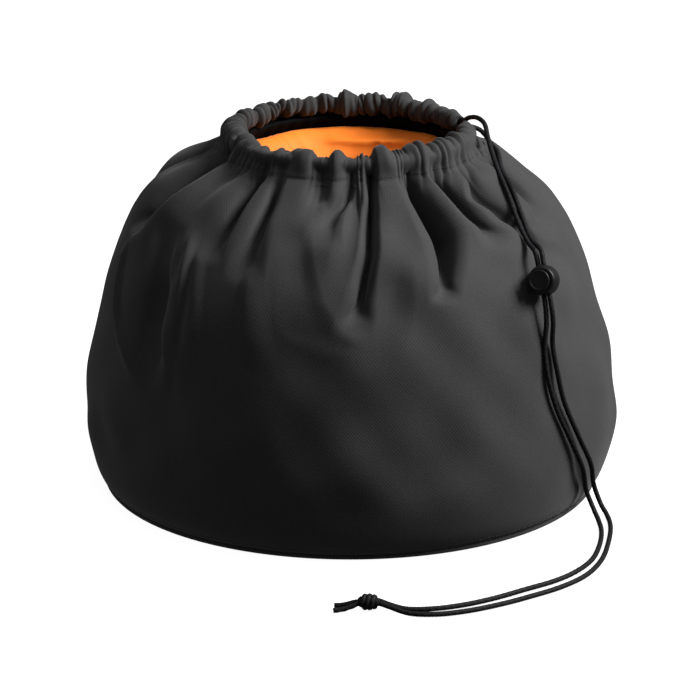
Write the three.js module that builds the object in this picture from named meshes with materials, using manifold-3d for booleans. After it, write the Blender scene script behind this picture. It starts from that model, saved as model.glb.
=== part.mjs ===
// A drawstring ball bag: a round black cloth body on a flat base, gathered at the mouth by a cord that runs in a
// ruffled casing, comes out at the right and passes through a spring cord lock to a knot on the floor. The bag is
// lined in orange. Millimetres, +Z up, origin on the floor under the middle of the base, the front faces -Y.
import * as THREE from "three";
import { mergeVertices } from "three/addons/utils/BufferGeometryUtils.js";
import Module from "manifold-3d";

const wasm = await Module();
wasm.setup();
const { lerp, clamp, smoothstep } = THREE.MathUtils;

// Body and base.
const bagRadius = 200; // the widest girth
const rimHeight = 257; // floor to the top edge of the wall
const rimRadius = 96; // the gathered wall at that edge
const rimDip = 2; // how far the front of the mouth hangs below its middle
const clothThickness = 2;
const basePanelRadius = 183;
const basePanelThickness = 3;
const weltHeight = 3.6; // the corded seam between base and wall
const weltWidth = 3.2;
const seamGap = 0.3; // between pieces that are sewn or laid together

// Mouth.
const casingOuterRadius = 97.5; // the foot of the casing
const casingWidth = 18;
const casingHeight = 14.5;
const casingOpening = { from: 96, to: 112 }; // azimuths between the casing's two ends, where the cord comes out
const ruffleCount = 25;
const ruffleDepth = 2;
const ringOverrun = 0.3; // how far the cord's ring stands out of each end of the casing, in degrees
const channelRadius = 2.9;
const channelLift = 5.6; // from the casing's foot to the middle of its channel
const facingThickness = 1.5;
const facingDrop = 12.5; // how far the facing hangs inside, below the casing
const facingFlare = 9; // how much wider it is there

// Lining.
const liningThickness = 2.4;
const liningClearance = 4; // between the lining and the deepest folds of the wall
const liningRollRadius = 57; // the narrowest point of its soft roll under the mouth

// Cord, cord lock and knot.
const cordDiameter = 3.6;
const lockCentre = new THREE.Vector3(137, -122.4, 187);
const lockAxis = new THREE.Vector3(-0.32, -0.91, 0.27).normalize(); // the way its button points
const lockWay = new THREE.Vector3(0.18, -0.33, -0.925).normalize(); // the way the cords run down through it
const lockRadius = 11;
const lockEndRadius = 9.4;
const lockLength = 18;
const lockEndRound = 2.4;
const buttonRadius = 7.5;
const buttonHeight = 2.2;
const buttonTravel = 2.6;
const buttonStandout = 0.5; // between the button's head and the body when it is pressed right in
const plungerRadius = 6.3;
const plungerLength = 12;
const plungerClearance = 0.35;
const cordClearance = 0.45;
const cordSpacing = 4.1; // between the middles of the two strands where they run side by side
const knotCentre = new THREE.Vector3(12.6, -276.6, 6.2);
const knotRadius = 5.6;
const knotLength = 14;
const tailLength = 18;

// The wall's outline. Height is a share of the way from its foot to its top edge, and fullness a share of the way
// out to the widest girth, from the foot's radius for the rows below it and from the rim's for those above.
const wallSections = [
  { height: 0, fullness: 0, above: false },
  { height: 0.022, fullness: 0.3, above: false },
  { height: 0.065, fullness: 0.62, above: false },
  { height: 0.182, fullness: 1, above: false },
  { height: 0.3, fullness: 0.986, above: true },
  { height: 0.419, fullness: 0.938, above: true },
  { height: 0.537, fullness: 0.876, above: true },
  { height: 0.636, fullness: 0.808, above: true },
  { height: 0.735, fullness: 0.702, above: true },
  { height: 0.814, fullness: 0.577, above: true },
  { height: 0.885, fullness: 0.406, above: true },
  { height: 0.945, fullness: 0.204, above: true },
  { height: 0.98, fullness: 0.075, above: true },
  { height: 1, fullness: 0, above: true },
];

// The valleys between the gathers, in order round the mouth. Azimuths in degrees from the front, positive to the
// right: rim and foot are where a valley starts and ends. Reach is its share of the wall's length, depth a share of
// the rim's radius, width its half width in degrees and blunt the power that rounds off its lower end.
const valleys = [
  { rim: -172, foot: -174, reach: 0.3, depth: 0.15, width: 8, blunt: 2 },
  { rim: -157, foot: -160, reach: 0.22, depth: 0.11, width: 8, blunt: 2 },
  { rim: -142, foot: -147, reach: 0.36, depth: 0.17, width: 9, blunt: 2 },
  { rim: -124, foot: -127, reach: 0.24, depth: 0.11, width: 8, blunt: 2 },
  { rim: -97, foot: -98, reach: 0.5, depth: 0.17, width: 11, blunt: 1.6 },
  { rim: -66, foot: -80, reach: 0.32, depth: 0.24, width: 10, blunt: 1.8 },
  { rim: -50, foot: -54, reach: 0.13, depth: 0.13, width: 8, blunt: 1.6 },
  { rim: -37, foot: -40, reach: 0.29, depth: 0.11, width: 6, blunt: 1.4 },
  { rim: -29, foot: -27, reach: 0.4, depth: 0.09, width: 6.5, blunt: 1.6 },
  { rim: -15, foot: -12, reach: 0.1, depth: 0.1, width: 6, blunt: 1.6 },
  { rim: 1.5, foot: -8, reach: 0.2, depth: 0.07, width: 4.5, blunt: 1.4 },
  { rim: 7.5, foot: 2, reach: 0.42, depth: 0.19, width: 6.5, blunt: 2.2 },
  { rim: 27, foot: 22.5, reach: 0.36, depth: 0.21, width: 8.5, blunt: 3 },
  { rim: 41, foot: 38, reach: 0.25, depth: 0.15, width: 6, blunt: 1.8 },
  { rim: 57, foot: 52, reach: 0.29, depth: 0.12, width: 6, blunt: 1.6 },
  { rim: 77, foot: 67, reach: 0.24, depth: 0.11, width: 8, blunt: 1.6 },
  { rim: 96, foot: 92, reach: 0.16, depth: 0.06, width: 7, blunt: 2 },
  { rim: 113, foot: 110, reach: 0.34, depth: 0.13, width: 9, blunt: 2 },
  { rim: 129, foot: 133, reach: 0.24, depth: 0.11, width: 8, blunt: 2 },
  { rim: 144, foot: 148, reach: 0.35, depth: 0.17, width: 9, blunt: 2 },
  { rim: 159, foot: 160, reach: 0.22, depth: 0.11, width: 8, blunt: 2 },
  { rim: 174, foot: 173, reach: 0.32, depth: 0.15, width: 8, blunt: 2 },
];

// Shallow dents lower on the wall: azimuth and half width in degrees, top and foot as shares of the wall's length
// up from the base, depth a share of the widest girth.
const dents = [
  { azimuth: -57, width: 14, top: 0.84, foot: 0.34, depth: 0.035 },
  { azimuth: -32, width: 8, top: 0.72, foot: 0.42, depth: 0.013 },
  { azimuth: -15, width: 6, top: 0.74, foot: 0.46, depth: 0.01 },
  { azimuth: 12, width: 6, top: 0.76, foot: 0.45, depth: 0.01 },
  { azimuth: 101, width: 12, top: 0.7, foot: 0.35, depth: 0.012 },
  { azimuth: 165, width: 14, top: 0.7, foot: 0.35, depth: 0.014 },
  { azimuth: -125, width: 13, top: 0.72, foot: 0.38, depth: 0.014 },
];

// Where the shoulder stands fuller than a round one: shares of the girth and of the wall's length.
const shoulder = { azimuth: -105, spread: 52, along: 0.86, length: 0.17, amount: 0.095 };

// The casing's section: across from its inner foot to its outer one, up from its foot to its lip.
const casingSection = [
  { across: 0.04, up: 0 },
  { across: 0.98, up: 0 },
  { across: 1, up: 0.36 },
  { across: 0.74, up: 0.82 },
  { across: 0.3, up: 1 },
  { across: 0, up: 0.62 },
];

// The roll at the lining's top: radius from the roll's narrowest point to the facing's lower edge, drop below that
// edge as a share of the facing's drop.
const liningRoll = [
  { radius: 1.3, drop: 3.3 },
  { radius: 0.5, drop: 2.9 },
  { radius: 0.12, drop: 2.2 },
  { radius: 0, drop: 1.55 },
  { radius: 0.14, drop: 0.98 },
  { radius: 0.38, drop: 0.92 },
  { radius: 0.62, drop: 0.5 },
  { radius: 0.98, drop: 0.14 },
];

// The cord's routes, chosen by hand. The ring lies in the casing, the strands leave its two ends, pass through the
// cord lock side by side, and lie on the floor up to the knot. The left strand comes from the ring's rear end.
const leftStrand = [
  [82.6, 32, 265.5],
  [84.9, 26.4, 267.4],
  [88.8, 19.8, 271.4],
  [94.4, 11.6, 273.2],
  [99.2, 2.6, 271],
  [101.4, -10, 263.6],
  [104, -24.6, 255],
  [107.8, -42, 246.2],
  [113.9, -64.6, 234.9],
  [120, -86, 220.5],
  [126.2, -103, 210],
  [131, -113.8, 205.6],
  [132.6, -117.2, 199.5],
  [134.2, -120.2, 191.1],
  [136, -123.6, 181.8],
  [137.9, -127.3, 171.7],
  [138.9, -130.6, 158],
  [138, -132.2, 140],
  [140.8, -135, 118],
  [147.6, -133, 94],
  [158.8, -127.2, 68],
  [168.8, -113.9, 42],
  [173, -100.8, 20],
  [178.6, -104.8, 6.6],
  [181, -113, 2.4],
  [181.6, -134, 2.1],
  [178, -162, 2.1],
  [170, -191, 2.1],
  [157, -213, 2.1],
  [142, -229, 2.1],
  [120, -245, 2.1],
  [99, -260, 2.1],
  [78, -271.6, 2.1],
  [57, -278.6, 2.1],
  [38, -279.6, 2.3],
  [27.4, -277.2, 4.2],
  [20.4, -274.8, 6],
];
const rightStrand = [
  [88, 10.6, 265],
  [87.3, 15.4, 265.2],
  [88.2, 20.4, 264],
  [92, 25, 263],
  [97, 25, 260.8],
  [100.8, 20.8, 257.9],
  [103.6, 13.6, 255.3],
  [105.8, 4, 253.6],
  [108.8, -10, 252.3],
  [110.8, -30.2, 244.5],
  [117, -55.2, 236.8],
  [123, -77.8, 223.4],
  [129, -99, 210.6],
  [135.2, -114.2, 206.6],
  [136.4, -118.1, 200.7],
  [138, -121.2, 192.2],
  [139.8, -124.6, 182.9],
  [141.8, -128.3, 172.8],
  [143.6, -130.6, 160],
  [143.7, -129.5, 142],
  [147.6, -129.8, 121],
  [153.1, -126.8, 98],
  [164.4, -121, 70],
  [175.4, -104.2, 42],
  [179.4, -89.2, 20],
  [184.6, -92.5, 6.6],
  [188, -102, 2.5],
  [189, -124, 2.1],
  [184.6, -158, 2.1],
  [176.6, -192, 2.1],
  [164, -219, 2.1],
  [145.6, -240, 2.1],
  [123.4, -257, 2.1],
  [102, -271, 2.1],
  [78, -283, 2.1],
  [57, -288.4, 2.1],
  [39, -286.6, 2.3],
  [28.2, -282.4, 4.4],
  [20, -278.9, 6.1],
];

const degrees = Math.PI / 180;
const wallRows = [0, 0.06, 0.18, 0.34, 0.5, 0.62, 0.73, 0.82, 0.89, 0.95, 1];
const casingInnerRadius = casingOuterRadius - casingWidth;
const casingFoot = rimHeight + facingThickness + 2 * seamGap;
const weltRadius = basePanelRadius + seamGap + weltWidth / 2;
const footHeight = weltHeight + 2 * seamGap;
const footRadius = weltRadius + clothThickness;

// Signed difference of two azimuths, in degrees.
const turnBetween = (a, b) => ((((a - b) % 360) + 540) % 360) - 180;

// A point at an azimuth and radius round the bag's axis.
function around(azimuth, radius, height) {
  const a = azimuth * degrees;
  return new THREE.Vector3(radius * Math.sin(a), -radius * Math.cos(a), height);
}

// How far the rim hangs or rises at an azimuth.
const rimTilt = (azimuth) => -rimDip * Math.cos(azimuth * degrees);

// The wall's outline as one smooth curve of radius (x) and height (y).
const wallOutline = new THREE.CatmullRomCurve3(
  wallSections.map(({ height, fullness, above }) => {
    const narrow = above ? rimRadius : footRadius;
    return new THREE.Vector3(lerp(narrow, bagRadius, fullness), lerp(footHeight, rimHeight, height), 0);
  }),
  false,
  "centripetal",
);

// Where the middle of a valley runs at a place along the wall.
function valleyAzimuth(valley, along) {
  return lerp(valley.rim, valley.foot, clamp((1 - along) / valley.reach, 0, 1));
}

// How deep the wall is drawn in by its valleys and dents.
function foldDepth(azimuth, along) {
  let depth = 0;
  for (const valley of valleys) {
    const down = (1 - along) / valley.reach;
    const off = Math.abs(turnBetween(azimuth, valleyAzimuth(valley, along))) / valley.width;
    if (down >= 1 || off >= 1) continue;
    const lengthwise = lerp(0.3, 1, smoothstep(down, 0, 0.22)) * (1 - down ** valley.blunt);
    depth += valley.depth * rimRadius * lengthwise * (1 - off) ** 1.5 * (1 + off);
  }
  for (const dent of dents) {
    const off = Math.abs(turnBetween(azimuth, dent.azimuth)) / dent.width;
    const middle = (dent.top + dent.foot) / 2;
    const lengthwise = Math.abs(along - middle) / (middle - dent.foot);
    if (off >= 1 || lengthwise >= 1) continue;
    depth += dent.depth * bagRadius * (1 - off * off) ** 2 * (1 - lengthwise * lengthwise) ** 2;
  }
  return depth;
}

// A point of the wall: azimuth, share of the outline from the base, and depth under the outer face.
function wallPoint(azimuth, along, under) {
  const place = wallOutline.getPointAt(along);
  const way = wallOutline.getTangentAt(along);
  const level = smoothstep(along, 0.93, 1) + 1 - smoothstep(along, 0, 0.06);
  const outward = new THREE.Vector2(lerp(way.y, 1, level), lerp(-way.x, 0, level)).normalize();
  const turn = turnBetween(azimuth, shoulder.azimuth) / shoulder.spread;
  const rise = (along - shoulder.along) / shoulder.length;
  const swell = shoulder.amount * bagRadius * Math.exp(-turn * turn - rise * rise) * (1 - along ** 12);
  const out = swell - foldDepth(azimuth, along) - under;
  const tilt = rimTilt(azimuth) * smoothstep(along, 0.45, 1);
  return around(azimuth, place.x + out * outward.x, place.y + out * outward.y + tilt);
}

// The wall's two panels meet down the valleys at its left and right side, counted from 0 in the table.
const sideValleys = { left: 4, right: 16 };

// The wall's columns follow its folds: one down each valley, one down each ridge and one on each flank.
function wallColumns(along) {
  return valleys.flatMap((valley, i) => {
    const here = valleyAzimuth(valley, along);
    const next = valleyAzimuth(valleys[(i + 1) % valleys.length], along);
    const span = (turnBetween(next, here) + 360) % 360;
    return [0, 0.24, 0.5, 0.76].map((share) => here + span * share);
  });
}

function indexed(positions, faces) {
  const geometry = new THREE.BufferGeometry();
  geometry.setAttribute("position", new THREE.Float32BufferAttribute(positions, 3));
  geometry.setIndex(faces);
  return geometry;
}

// Cloth from the grids of its outer and inner face, each a list of rows from the bottom up, as a ring or as a panel
// with two side edges.
function clothSheet(outer, inner, ring) {
  const rows = outer.length;
  const columns = outer[0].length;
  const positions = [...outer.flat(), ...inner.flat()].flatMap((p) => [p.x, p.y, p.z]);
  const under = rows * columns;
  const top = (rows - 1) * columns;
  const faces = [];
  const quad = (a, b, c, d) => faces.push(a, b, c, a, c, d);
  for (let column = 0; column < columns - (ring ? 0 : 1); column++) {
    const next = (column + 1) % columns;
    for (let low = 0; low < top; low += columns) {
      const high = low + columns;
      quad(low + column, low + next, high + next, high + column);
      quad(under + low + next, under + low + column, under + high + column, under + high + next);
    }
    quad(top + column, top + next, under + top + next, under + top + column);
    quad(under + column, under + next, next, column);
  }
  for (let low = 0; low < top && !ring; low += columns) {
    const high = low + columns;
    const last = columns - 1;
    quad(under + low, low, high, under + high);
    quad(low + last, under + low + last, under + high + last, high + last);
  }
  return indexed(positions, faces);
}

// A turned form from its outline of radius and height, run round it anticlockwise as seen with +Z up.
function turned(outline, segments) {
  const points = outline.map(([radius, height]) => new THREE.Vector2(radius, height));
  return new THREE.LatheGeometry(points, segments).rotateX(Math.PI / 2);
}

// Solids for cuts and joins, and back again.
function solidOf(geometry) {
  const bare = geometry.clone();
  bare.deleteAttribute("normal");
  bare.deleteAttribute("uv");
  const merged = mergeVertices(bare, 1e-3);
  return new wasm.Manifold(
    new wasm.Mesh({
      numProp: 3,
      vertProperties: merged.attributes.position.array,
      triVerts: new Uint32Array(merged.index.array),
    }),
  );
}

function geometryOf(solid) {
  const mesh = solid.getMesh();
  return indexed([...mesh.vertProperties], [...mesh.triVerts]);
}

// A turned form whose own axis is laid along a direction, with its origin at a place.
function aimed(geometry, place, direction) {
  const turn = new THREE.Quaternion().setFromUnitVectors(new THREE.Vector3(0, 0, 1), direction);
  return geometry.clone().applyQuaternion(turn).translate(place.x, place.y, place.z);
}

const blackCloth = { color: 0x2c2c2e, roughness: 0.85, metalness: 0 };
const orangeCloth = { color: 0xf2872f, roughness: 0.8, metalness: 0 };
const blackCord = { color: 0x151517, roughness: 0.6, metalness: 0 };
const blackPlastic = { color: 0x242427, roughness: 0.45, metalness: 0 };

const bag = new THREE.Group();

function add(name, geometry, finish) {
  geometry.computeVertexNormals();
  const piece = new THREE.Mesh(geometry, new THREE.MeshStandardMaterial(finish));
  piece.name = name;
  bag.add(piece);
}

// One of the two panels of the wall, from one side seam round to the other.
function wallPanel(fromValley, toValley) {
  const face = (under) =>
    wallRows.map((along) => {
      const all = wallColumns(along);
      const count = 4 * ((toValley - fromValley + valleys.length) % valleys.length);
      const turn = seamGap / 2 / wallOutline.getPointAt(along).x / degrees;
      return Array.from({ length: count + 1 }, (_, i) => {
        const edge = i === 0 ? turn : i === count ? -turn : 0;
        return wallPoint(all[(4 * fromValley + i) % all.length] + edge, along, under);
      });
    });
  return clothSheet(face(0), face(clothThickness), false);
}

function basePanel() {
  const bevel = 0.8;
  const outline = [
    [0, 0],
    [basePanelRadius - bevel, 0],
    [basePanelRadius, bevel],
    [basePanelRadius, basePanelThickness - bevel],
    [basePanelRadius - bevel, basePanelThickness],
    [0, basePanelThickness],
  ];
  return turned(outline, 36);
}

function baseWelt() {
  const outline = [];
  for (let side = 0; side <= 6; side++) {
    const turn = side * 60 * degrees;
    outline.push([
      weltRadius + (weltWidth / 2) * Math.cos(turn),
      seamGap + (weltHeight / 2) * (1 + Math.sin(turn)),
    ]);
  }
  return turned(outline, 36);
}

// Uneven puffs round the casing, from -1 to 1.
function ruffle(azimuth) {
  const a = azimuth * degrees;
  const phase = ruffleCount * a + 1.3 * Math.sin(3 * a + 0.4) + 0.8 * Math.sin(7 * a + 2);
  return Math.sin(phase) * (0.72 + 0.28 * Math.sin(5 * a + 1));
}

// The casing is a band of puffs from one side of its opening round to the other, hollow for the cord. Its two ends
// show the channel.
function drawcordCasing() {
  const columns = 3 * ruffleCount - 3;
  const outerSides = casingSection.length;
  const channelSides = 5;
  const positions = [];
  const loopAt = (azimuth) => {
    const puff = ruffle(azimuth) * ruffleDepth;
    const middle = (casingOuterRadius + casingInnerRadius) / 2;
    const outer = casingSection.map(({ across, up }) => {
      const radius = lerp(casingInnerRadius, casingOuterRadius, across);
      const swell = (puff * up * (radius - middle)) / (casingOuterRadius - middle);
      return around(azimuth, radius + swell, casingFoot + (casingHeight + puff) * up + rimTilt(azimuth));
    });
    const channel = [];
    for (let side = 0; side < channelSides; side++) {
      const turn = (side / channelSides) * 2 * Math.PI;
      const height = casingFoot + channelLift + channelRadius * Math.sin(turn) + rimTilt(azimuth);
      channel.push(around(azimuth, middle + channelRadius * Math.cos(turn), height));
    }
    return [...outer, ...channel];
  };
  const span = 360 - (casingOpening.to - casingOpening.from);
  for (let column = 0; column <= columns; column++) {
    const loop = loopAt(casingOpening.to + (span * column) / columns);
    positions.push(...loop.flatMap((p) => [p.x, p.y, p.z]));
  }
  const faces = [];
  const stride = outerSides + channelSides;
  const quad = (a, b, c, d) => faces.push(a, b, c, a, c, d);
  for (let column = 0; column < columns; column++) {
    const here = column * stride;
    const there = here + stride;
    for (let side = 0; side < outerSides; side++) {
      const next = (side + 1) % outerSides;
      quad(here + side, there + side, there + next, here + next);
    }
    for (let side = 0; side < channelSides; side++) {
      const next = (side + 1) % channelSides;
      const a = here + outerSides;
      const b = there + outerSides;
      quad(a + side, a + next, b + next, b + side);
    }
  }
  const width = casingOuterRadius - casingInnerRadius;
  const outline = casingSection.map(({ across, up }) => new THREE.Vector2(across * width, up * casingHeight));
  const hole = [];
  for (let side = 0; side < channelSides; side++) {
    const turn = (side / channelSides) * 2 * Math.PI;
    const x = width / 2 + channelRadius * Math.cos(turn);
    hole.push(new THREE.Vector2(x, channelLift + channelRadius * Math.sin(turn)));
  }
  const end = columns * stride;
  for (const [a, b, c] of THREE.ShapeUtils.triangulateShape(outline, [hole])) {
    faces.push(a, b, c, end + c, end + b, end + a);
  }
  return indexed(positions, faces);
}

// The facing is sewn in under the casing's foot and hangs inside the mouth.
function mouthFacing() {
  const top = casingFoot - seamGap;
  const inner = casingInnerRadius + 1;
  const rows = [
    { radius: inner + facingFlare, height: top - facingDrop },
    { radius: inner, height: top - facingThickness * 2 },
    { radius: inner + facingThickness, height: top },
    { radius: rimRadius, height: top },
  ];
  const under = [
    { radius: inner + facingFlare + facingThickness, height: top - facingDrop },
    { radius: inner + facingThickness, height: top - facingThickness * 2 },
    { radius: inner + facingThickness * 2, height: top - facingThickness },
    { radius: rimRadius, height: top - facingThickness },
  ];
  const columns = Array.from({ length: 36 }, (_, i) => i * 10);
  const row = ({ radius, height }) => columns.map((a) => around(a, radius, height + rimTilt(a)));
  return clothSheet(under.map(row), rows.map(row), true);
}

// The lining's middle line, from the floor's centre up the wall and in to its roll.
function liningPath() {
  const top = casingFoot - seamGap - facingDrop - rimDip;
  const facingEdge = casingInnerRadius + 1 + facingFlare;
  const floor = basePanelThickness + seamGap + liningThickness / 2;
  const half = liningThickness / 2;
  const path = [[0, floor], [footRadius * 0.9, floor]];
  for (const along of [0.05, 0.14, 0.3, 0.48, 0.66]) {
    const place = wallOutline.getPointAt(along);
    let deepest = 0;
    for (let azimuth = 0; azimuth < 360; azimuth += 1) deepest = Math.max(deepest, foldDepth(azimuth, along));
    path.push([place.x - clothThickness - deepest - liningClearance - half, place.y]);
  }
  for (const { radius, drop } of liningRoll) {
    path.push([lerp(liningRollRadius, facingEdge, radius) + half, top - facingDrop * drop - half]);
  }
  return path;
}

// One band of the lining, between two points of its path.
function liningBand(from, to) {
  const path = liningPath();
  const half = liningThickness / 2;
  const last = to ?? path.length - 1;
  const side = (sign) =>
    path.slice(from, last + 1).map(([radius, height], step) => {
      const i = from + step;
      const before = path[Math.max(i - 1, 0)];
      const after = path[Math.min(i + 1, path.length - 1)];
      const way = new THREE.Vector2(after[0] - before[0], after[1] - before[1]).normalize();
      if (i === 0) return [0, height - sign * half];
      let along = 0;
      if (i === from) along = seamGap / 2;
      if (i === to) along = -seamGap / 2;
      return [radius + sign * half * way.y + along * way.x, height - sign * half * way.x + along * way.y];
    });
  const outline = [...side(1), ...side(-1).reverse()];
  if (from > 0) outline.push(outline[0]);
  return turned(outline, 24);
}

// A round cord along a route, as a plain tube.
function cordTube(route, closed = false) {
  const curve = new THREE.CatmullRomCurve3(route, closed, "centripetal");
  const section = new THREE.Shape();
  for (let side = 0; side < 8; side++) {
    const turn = (side / 8) * 2 * Math.PI;
    const x = (cordDiameter / 2) * Math.cos(turn);
    const y = (cordDiameter / 2) * Math.sin(turn);
    if (side === 0) section.moveTo(x, y);
    else section.lineTo(x, y);
  }
  section.closePath();
  const steps = Math.min(80, Math.round(curve.getLength() / (3 * cordDiameter)));
  return new THREE.ExtrudeGeometry(section, { steps, extrudePath: curve, curveSegments: 1 });
}

function cordRing() {
  const middle = (casingOuterRadius + casingInnerRadius) / 2;
  const from = casingOpening.to - ringOverrun;
  const span = 360 - (casingOpening.to - casingOpening.from) + 2 * ringOverrun;
  const route = [];
  for (let i = 0; i <= 24; i++) {
    const azimuth = from + (span * i) / 24;
    route.push(around(azimuth, middle, casingFoot + channelLift + rimTilt(azimuth)));
  }
  return cordTube(route);
}

const routeOf = (points) => points.map(([x, y, z]) => new THREE.Vector3(x, y, z));

// A slot with round ends through the cord lock, for both strands, wider along the button's axis by a length.
function lockSlot(extra) {
  const half = cordDiameter / 2 + cordClearance;
  const outline = new THREE.Shape();
  const across = cordSpacing / 2;
  const long = extra / 2;
  outline.absarc(across, long, half, 0, Math.PI / 2);
  outline.absarc(-across, long, half, Math.PI / 2, Math.PI);
  outline.absarc(-across, -long, half, Math.PI, 1.5 * Math.PI);
  outline.absarc(across, -long, half, 1.5 * Math.PI, 2 * Math.PI);
  const length = 4 * lockRadius;
  const slot = new THREE.ExtrudeGeometry(outline, { depth: length, bevelEnabled: false, curveSegments: 2 });
  slot.translate(0, 0, -length / 2);
  const side = new THREE.Vector3().crossVectors(lockAxis, lockWay).normalize();
  const up = new THREE.Vector3().crossVectors(side, lockAxis).normalize();
  const frame = new THREE.Matrix4().makeBasis(side, lockAxis, up);
  return slot.applyMatrix4(frame);
}

// The lock's body is a barrel, bored for the plunger from its front end and cut through for the cords.
function lockBody() {
  const back = -lockLength / 2;
  const outline = [
    [0, back],
    [lockEndRadius - lockEndRound, back],
    [lockEndRadius, back + lockEndRound],
    [lockRadius, back + lockLength * 0.36],
    [lockRadius, back + lockLength * 0.64],
    [lockEndRadius + 0.4, -back - lockEndRound * 0.6],
    [lockEndRadius - lockEndRound * 0.4, -back],
    [0, -back],
  ];
  const boreDepth = plungerLength + buttonTravel + 1;
  const bore = new THREE.CylinderGeometry(
    plungerRadius + plungerClearance,
    plungerRadius + plungerClearance,
    boreDepth + 10,
    16,
  );
  bore.rotateX(Math.PI / 2).translate(0, 0, lockLength / 2 - boreDepth + (boreDepth + 10) / 2);
  const barrel = solidOf(aimed(turned(outline, 16), lockCentre, lockAxis));
  const hole = solidOf(aimed(bore, lockCentre, lockAxis));
  const slot = solidOf(lockSlot(0).translate(lockCentre.x, lockCentre.y, lockCentre.z));
  return geometryOf(barrel.subtract(hole).subtract(slot));
}

// The button and its plunger in one piece. Its slot is longer than the body's by the travel, so that the cords are
// clear at both ends of it.
function lockButton() {
  const face = lockLength / 2 + buttonStandout + buttonTravel;
  const outline = [
    [0, lockLength / 2 - plungerLength],
    [plungerRadius, lockLength / 2 - plungerLength],
    [plungerRadius, face],
    [buttonRadius, face],
    [buttonRadius, face + buttonHeight * 0.6],
    [buttonRadius - 0.9, face + buttonHeight],
    [0, face + buttonHeight],
  ];
  const shape = solidOf(aimed(turned(outline, 18), lockCentre, lockAxis));
  const place = lockCentre.clone().addScaledVector(lockAxis, buttonTravel / 2);
  const slot = solidOf(lockSlot(buttonTravel).translate(place.x, place.y, place.z));
  return geometryOf(shape.subtract(slot));
}

// An overhand knot of both strands with its two tails.
function cordKnot() {
  const body = new THREE.SphereGeometry(1, 10, 6).scale(knotLength / 2, knotRadius * 1.1, knotRadius);
  const wrap = new THREE.TorusGeometry(knotRadius * 0.74, cordDiameter / 2, 6, 12);
  wrap.rotateY(Math.PI / 2).rotateZ(0.3);
  const tail = new THREE.CapsuleGeometry(cordDiameter / 2, tailLength, 1, 8).rotateZ(Math.PI / 2);
  const reach = knotLength * 0.35 + tailLength / 2;
  const drop = cordDiameter / 2 + seamGap - knotCentre.z;
  const tails = [
    tail.clone().rotateY(-0.13).rotateZ(-0.03).translate(-reach, cordDiameter * 0.75, drop + 1.3),
    tail.clone().rotateY(-0.13).rotateZ(0.16).translate(-reach, -cordDiameter * 1.1, drop + 1.3),
  ];
  let solid = solidOf(body).add(solidOf(wrap));
  for (const one of tails) solid = solid.add(solidOf(one));
  return geometryOf(solid).translate(knotCentre.x, knotCentre.y, knotCentre.z);
}

add("wall_front", wallPanel(sideValleys.left, sideValleys.right), blackCloth);
add("wall_back", wallPanel(sideValleys.right, sideValleys.left), blackCloth);
add("base_panel", basePanel(), blackCloth);
add("base_welt", baseWelt(), blackCloth);
add("drawcord_casing", drawcordCasing(), blackCloth);
add("mouth_facing", mouthFacing(), blackCloth);
add("lining_floor", liningBand(0, 1), orangeCloth);
add("lining_side_lower", liningBand(1, 4), orangeCloth);
add("lining_side_upper", liningBand(4, 6), orangeCloth);
add("lining_collar", liningBand(6), orangeCloth);
add("drawcord_ring", cordRing(), blackCord);
add("drawcord_left", cordTube(routeOf(leftStrand)), blackCord);
add("drawcord_right", cordTube(routeOf(rightStrand)), blackCord);
add("cord_lock_body", lockBody(), blackPlastic);
add("cord_lock_button", lockButton(), blackPlastic);
add("cord_knot", cordKnot(), blackCord);

export default bag;
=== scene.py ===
import math
import bpy
import numpy as np
from mathutils import Matrix, Vector


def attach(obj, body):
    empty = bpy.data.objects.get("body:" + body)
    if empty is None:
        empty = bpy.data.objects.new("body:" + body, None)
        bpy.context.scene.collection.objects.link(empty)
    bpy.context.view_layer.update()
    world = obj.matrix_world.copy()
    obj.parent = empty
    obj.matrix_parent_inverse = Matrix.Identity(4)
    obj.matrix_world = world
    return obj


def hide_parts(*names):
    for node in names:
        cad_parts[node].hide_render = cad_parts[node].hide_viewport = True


# A drawstring ball bag: black twill on a flat base, a ruffled drawcord casing, an orange lining,
# and two braided strands that run through a spring cord lock to a knot on the floor.
# The tables are in millimetres and degrees; azimuth 0 is the front and 90 the right-hand side.
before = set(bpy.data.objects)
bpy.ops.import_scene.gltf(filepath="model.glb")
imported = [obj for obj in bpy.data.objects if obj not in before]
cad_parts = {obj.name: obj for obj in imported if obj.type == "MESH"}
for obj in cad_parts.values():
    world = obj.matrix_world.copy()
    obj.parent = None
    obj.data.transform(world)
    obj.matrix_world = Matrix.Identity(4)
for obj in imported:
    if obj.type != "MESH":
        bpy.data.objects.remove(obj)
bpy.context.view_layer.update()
mm = 0.001
rng = np.random.default_rng(7)


# Camera and cords come first.
camera = {"lens": 149.58, "sensor": 36, "distance": 2200, "elevation": 17.8, "aim": (0, 0, 96)}


def placeCamera():
    tilt = math.radians(camera["elevation"])
    away = Vector((0, -math.cos(tilt), math.sin(tilt)))
    place = (Vector(camera["aim"]) + away * camera["distance"]) * mm
    bpy.ops.object.camera_add(location=place, rotation=(-away).to_track_quat("-Z", "Y").to_euler())
    eye = bpy.context.object
    eye.name = "photoCamera"
    eye.data.lens = camera["lens"]
    eye.data.sensor_width = camera["sensor"]
    bpy.context.scene.camera = eye


placeCamera()
print("camera placed")


# Small helpers: colours, nodes, smooth lines, sheets from a flat grid.
def toLinear(hexColour):
    values = [int(hexColour[i:i + 2], 16) / 255 for i in (1, 3, 5)]
    return tuple(v / 12.92 if v <= 0.04045 else ((v + 0.055) / 1.055) ** 2.4 for v in values) + (1,)


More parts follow.
